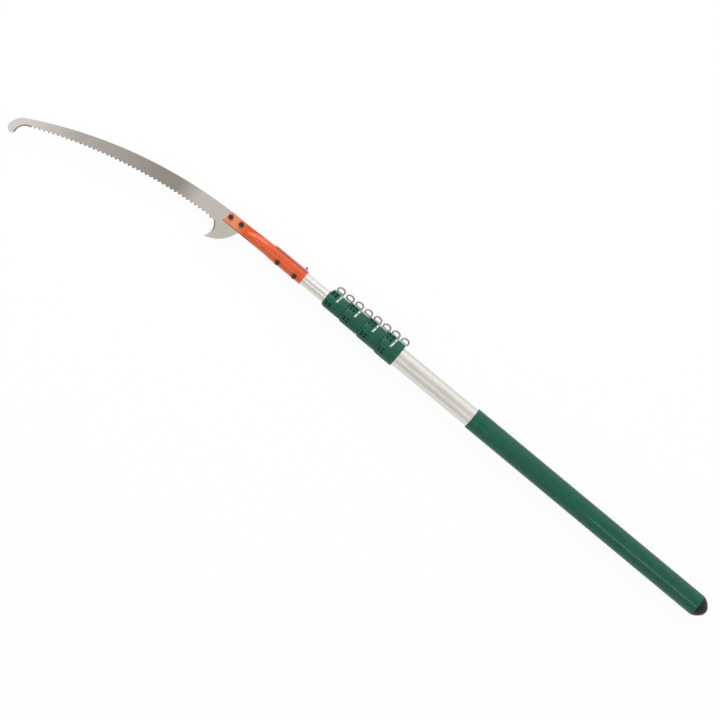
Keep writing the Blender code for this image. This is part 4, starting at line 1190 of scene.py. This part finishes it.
CENTRE = (0.7, 0)  # under the middle of the saw
FLOOR_SIZE = 200
WALL_RADIUS = 60
WALL_HEIGHT = 16
PAPER_GLOW = 0.92
ROOM_LIGHT = 0.72
LAMPS = (  # name, place, the station it aims at, size, power
    ("key", (2.35, -2.0, 1.5), 0.7, (2.0, 2.0), 42),
    ("side", (0.7, -2.85, 0.95), 0.7, (4.0, 2.4), 12),
    ("front strip", (1.3, 0.83, 2.4), 1.3, (1.06, 0.14), 2.9),
    ("rear strip", (-0.6, 0.83, 2.4), -0.6, (1.0, 0.25), 6),
)
CAMERA_PLACE = (0.703875, 0.044395, 3.3)
CAMERA_RIGHT = Vector((-0.7691, -0.6391, 0))  # the pole lies 39.7 degrees off level in the picture
CAMERA_UP = Vector((0.6391, -0.7691, 0))


def white_paper():
    """It looks white to the camera and in the metal, and keeps a faint shadow."""
    material = bpy.data.materials.new("white paper")
    material.use_nodes = True
    tree = material.node_tree
    tree.nodes.clear()
    light = add(tree, "LightPath").outputs
    seen = light["Is Camera Ray"]
    for other in (light["Is Glossy Ray"], light["Is Transmission Ray"]):
        seen = add(tree, "Math", {"operation": "MAXIMUM"}, {0: seen, 1: other})
    share = add(tree, "Math", {"operation": "MULTIPLY", 1: PAPER_GLOW}, {0: seen})
    paper = add(tree, "BsdfDiffuse", {"Color": (1, 1, 1, 1)})
    glow = add(tree, "Emission", {"Color": (1, 1, 1, 1), "Strength": 1.0})
    mixed = add(tree, "MixShader", None, {0: share, 1: paper, 2: glow})
    add(tree, "OutputMaterial", None, {"Surface": mixed})
    return material


def make_studio():
    """A white floor under the saw, and a white wall far round it."""
    level = solid_bounds[0][2] - 0.2 * MM
    place = {"location": (*CENTRE, level)}
    floor = begin("white_floor", bpy.ops.mesh.primitive_plane_add, size=FLOOR_SIZE, **place)
    place = {"location": (*CENTRE, level + WALL_HEIGHT / 2)}
    ring = {"vertices": 128, "radius": WALL_RADIUS, "depth": WALL_HEIGHT, "end_fill_type": "NOTHING"}
    wall = begin("white_wall", bpy.ops.mesh.primitive_cylinder_add, **ring, **place)
    paper = white_paper()
    for piece in (floor, wall):
        piece.data.materials.append(paper)


def make_light():
    """An even room with a high lamp, a wide one beside the saw and two strips above."""
    world = bpy.data.worlds.new("studio")
    world.use_nodes = True
    bpy.context.scene.world = world
    background = world.node_tree.nodes["Background"]
    background.inputs["Color"].default_value = linear("#ffffff")
    background.inputs["Strength"].default_value = ROOM_LIGHT
    for name, place, station, size, power in LAMPS:
        turn = (Vector((station, 0, 0)) - Vector(place)).to_track_quat("-Z", "Y").to_euler()
        lamp = begin(name, bpy.ops.object.light_add, type="AREA", location=place, rotation=turn)
        lamp.data.shape = "RECTANGLE"
        lamp.data.size, lamp.data.size_y = size
        lamp.data.energy = power


def make_camera():
    """Square to the blade's flat, with the pole falling to the lower right."""
    camera = bpy.data.objects.new("camera", bpy.data.cameras.new("camera"))
    bpy.context.scene.collection.objects.link(camera)
    turn = Matrix((CAMERA_RIGHT, CAMERA_UP, CAMERA_RIGHT.cross(CAMERA_UP))).transposed().to_4x4()
    camera.matrix_world = Matrix.Translation(CAMERA_PLACE) @ turn
    camera.data.lens = 100
    camera.data.sensor_width = 36
    bpy.context.scene.camera = camera


def main():
    aluminium = drawn_aluminium()
    vinyl = shrunk_vinyl()
    black = moulded_polythene()
    steel = ground_blade_steel()
    enamel = baked_enamel()
    wire = plated_steel("plated steel wire", "#86827a", "#b3aea5", 0.38)
    dark = plated_steel("blacked steel", "#352d29", "#574d47", 0.36)
    zinc = plated_steel("zinc-plated steel", "#a9aaab", "#c9cacb", 0.35)
    brass = plated_steel("turned brass", "#a8874a", "#c3a25e", 0.35)
    for number in range(1, 6):
        make_tube(number, aluminium)
        if number > 1:
            make_tube_plug(number, black)
        if number < 5:
            make_collar(number, moulded_nylon(number))
            make_rings(number, wire, brass)
    make_grip(vinyl)
    make_end_cap(black)
    make_shell("pressed_near_shell", "near_socket_shell", 1, 0, enamel)
    make_shell("pressed_far_shell", "far_socket_shell", -1, FLANGE, enamel)
    make_fasteners(dark, zinc)
    make_blade(steel)
    make_studio()
    make_light()
    make_camera()
    bpy.context.scene.view_settings.view_transform = "Standard"


main()
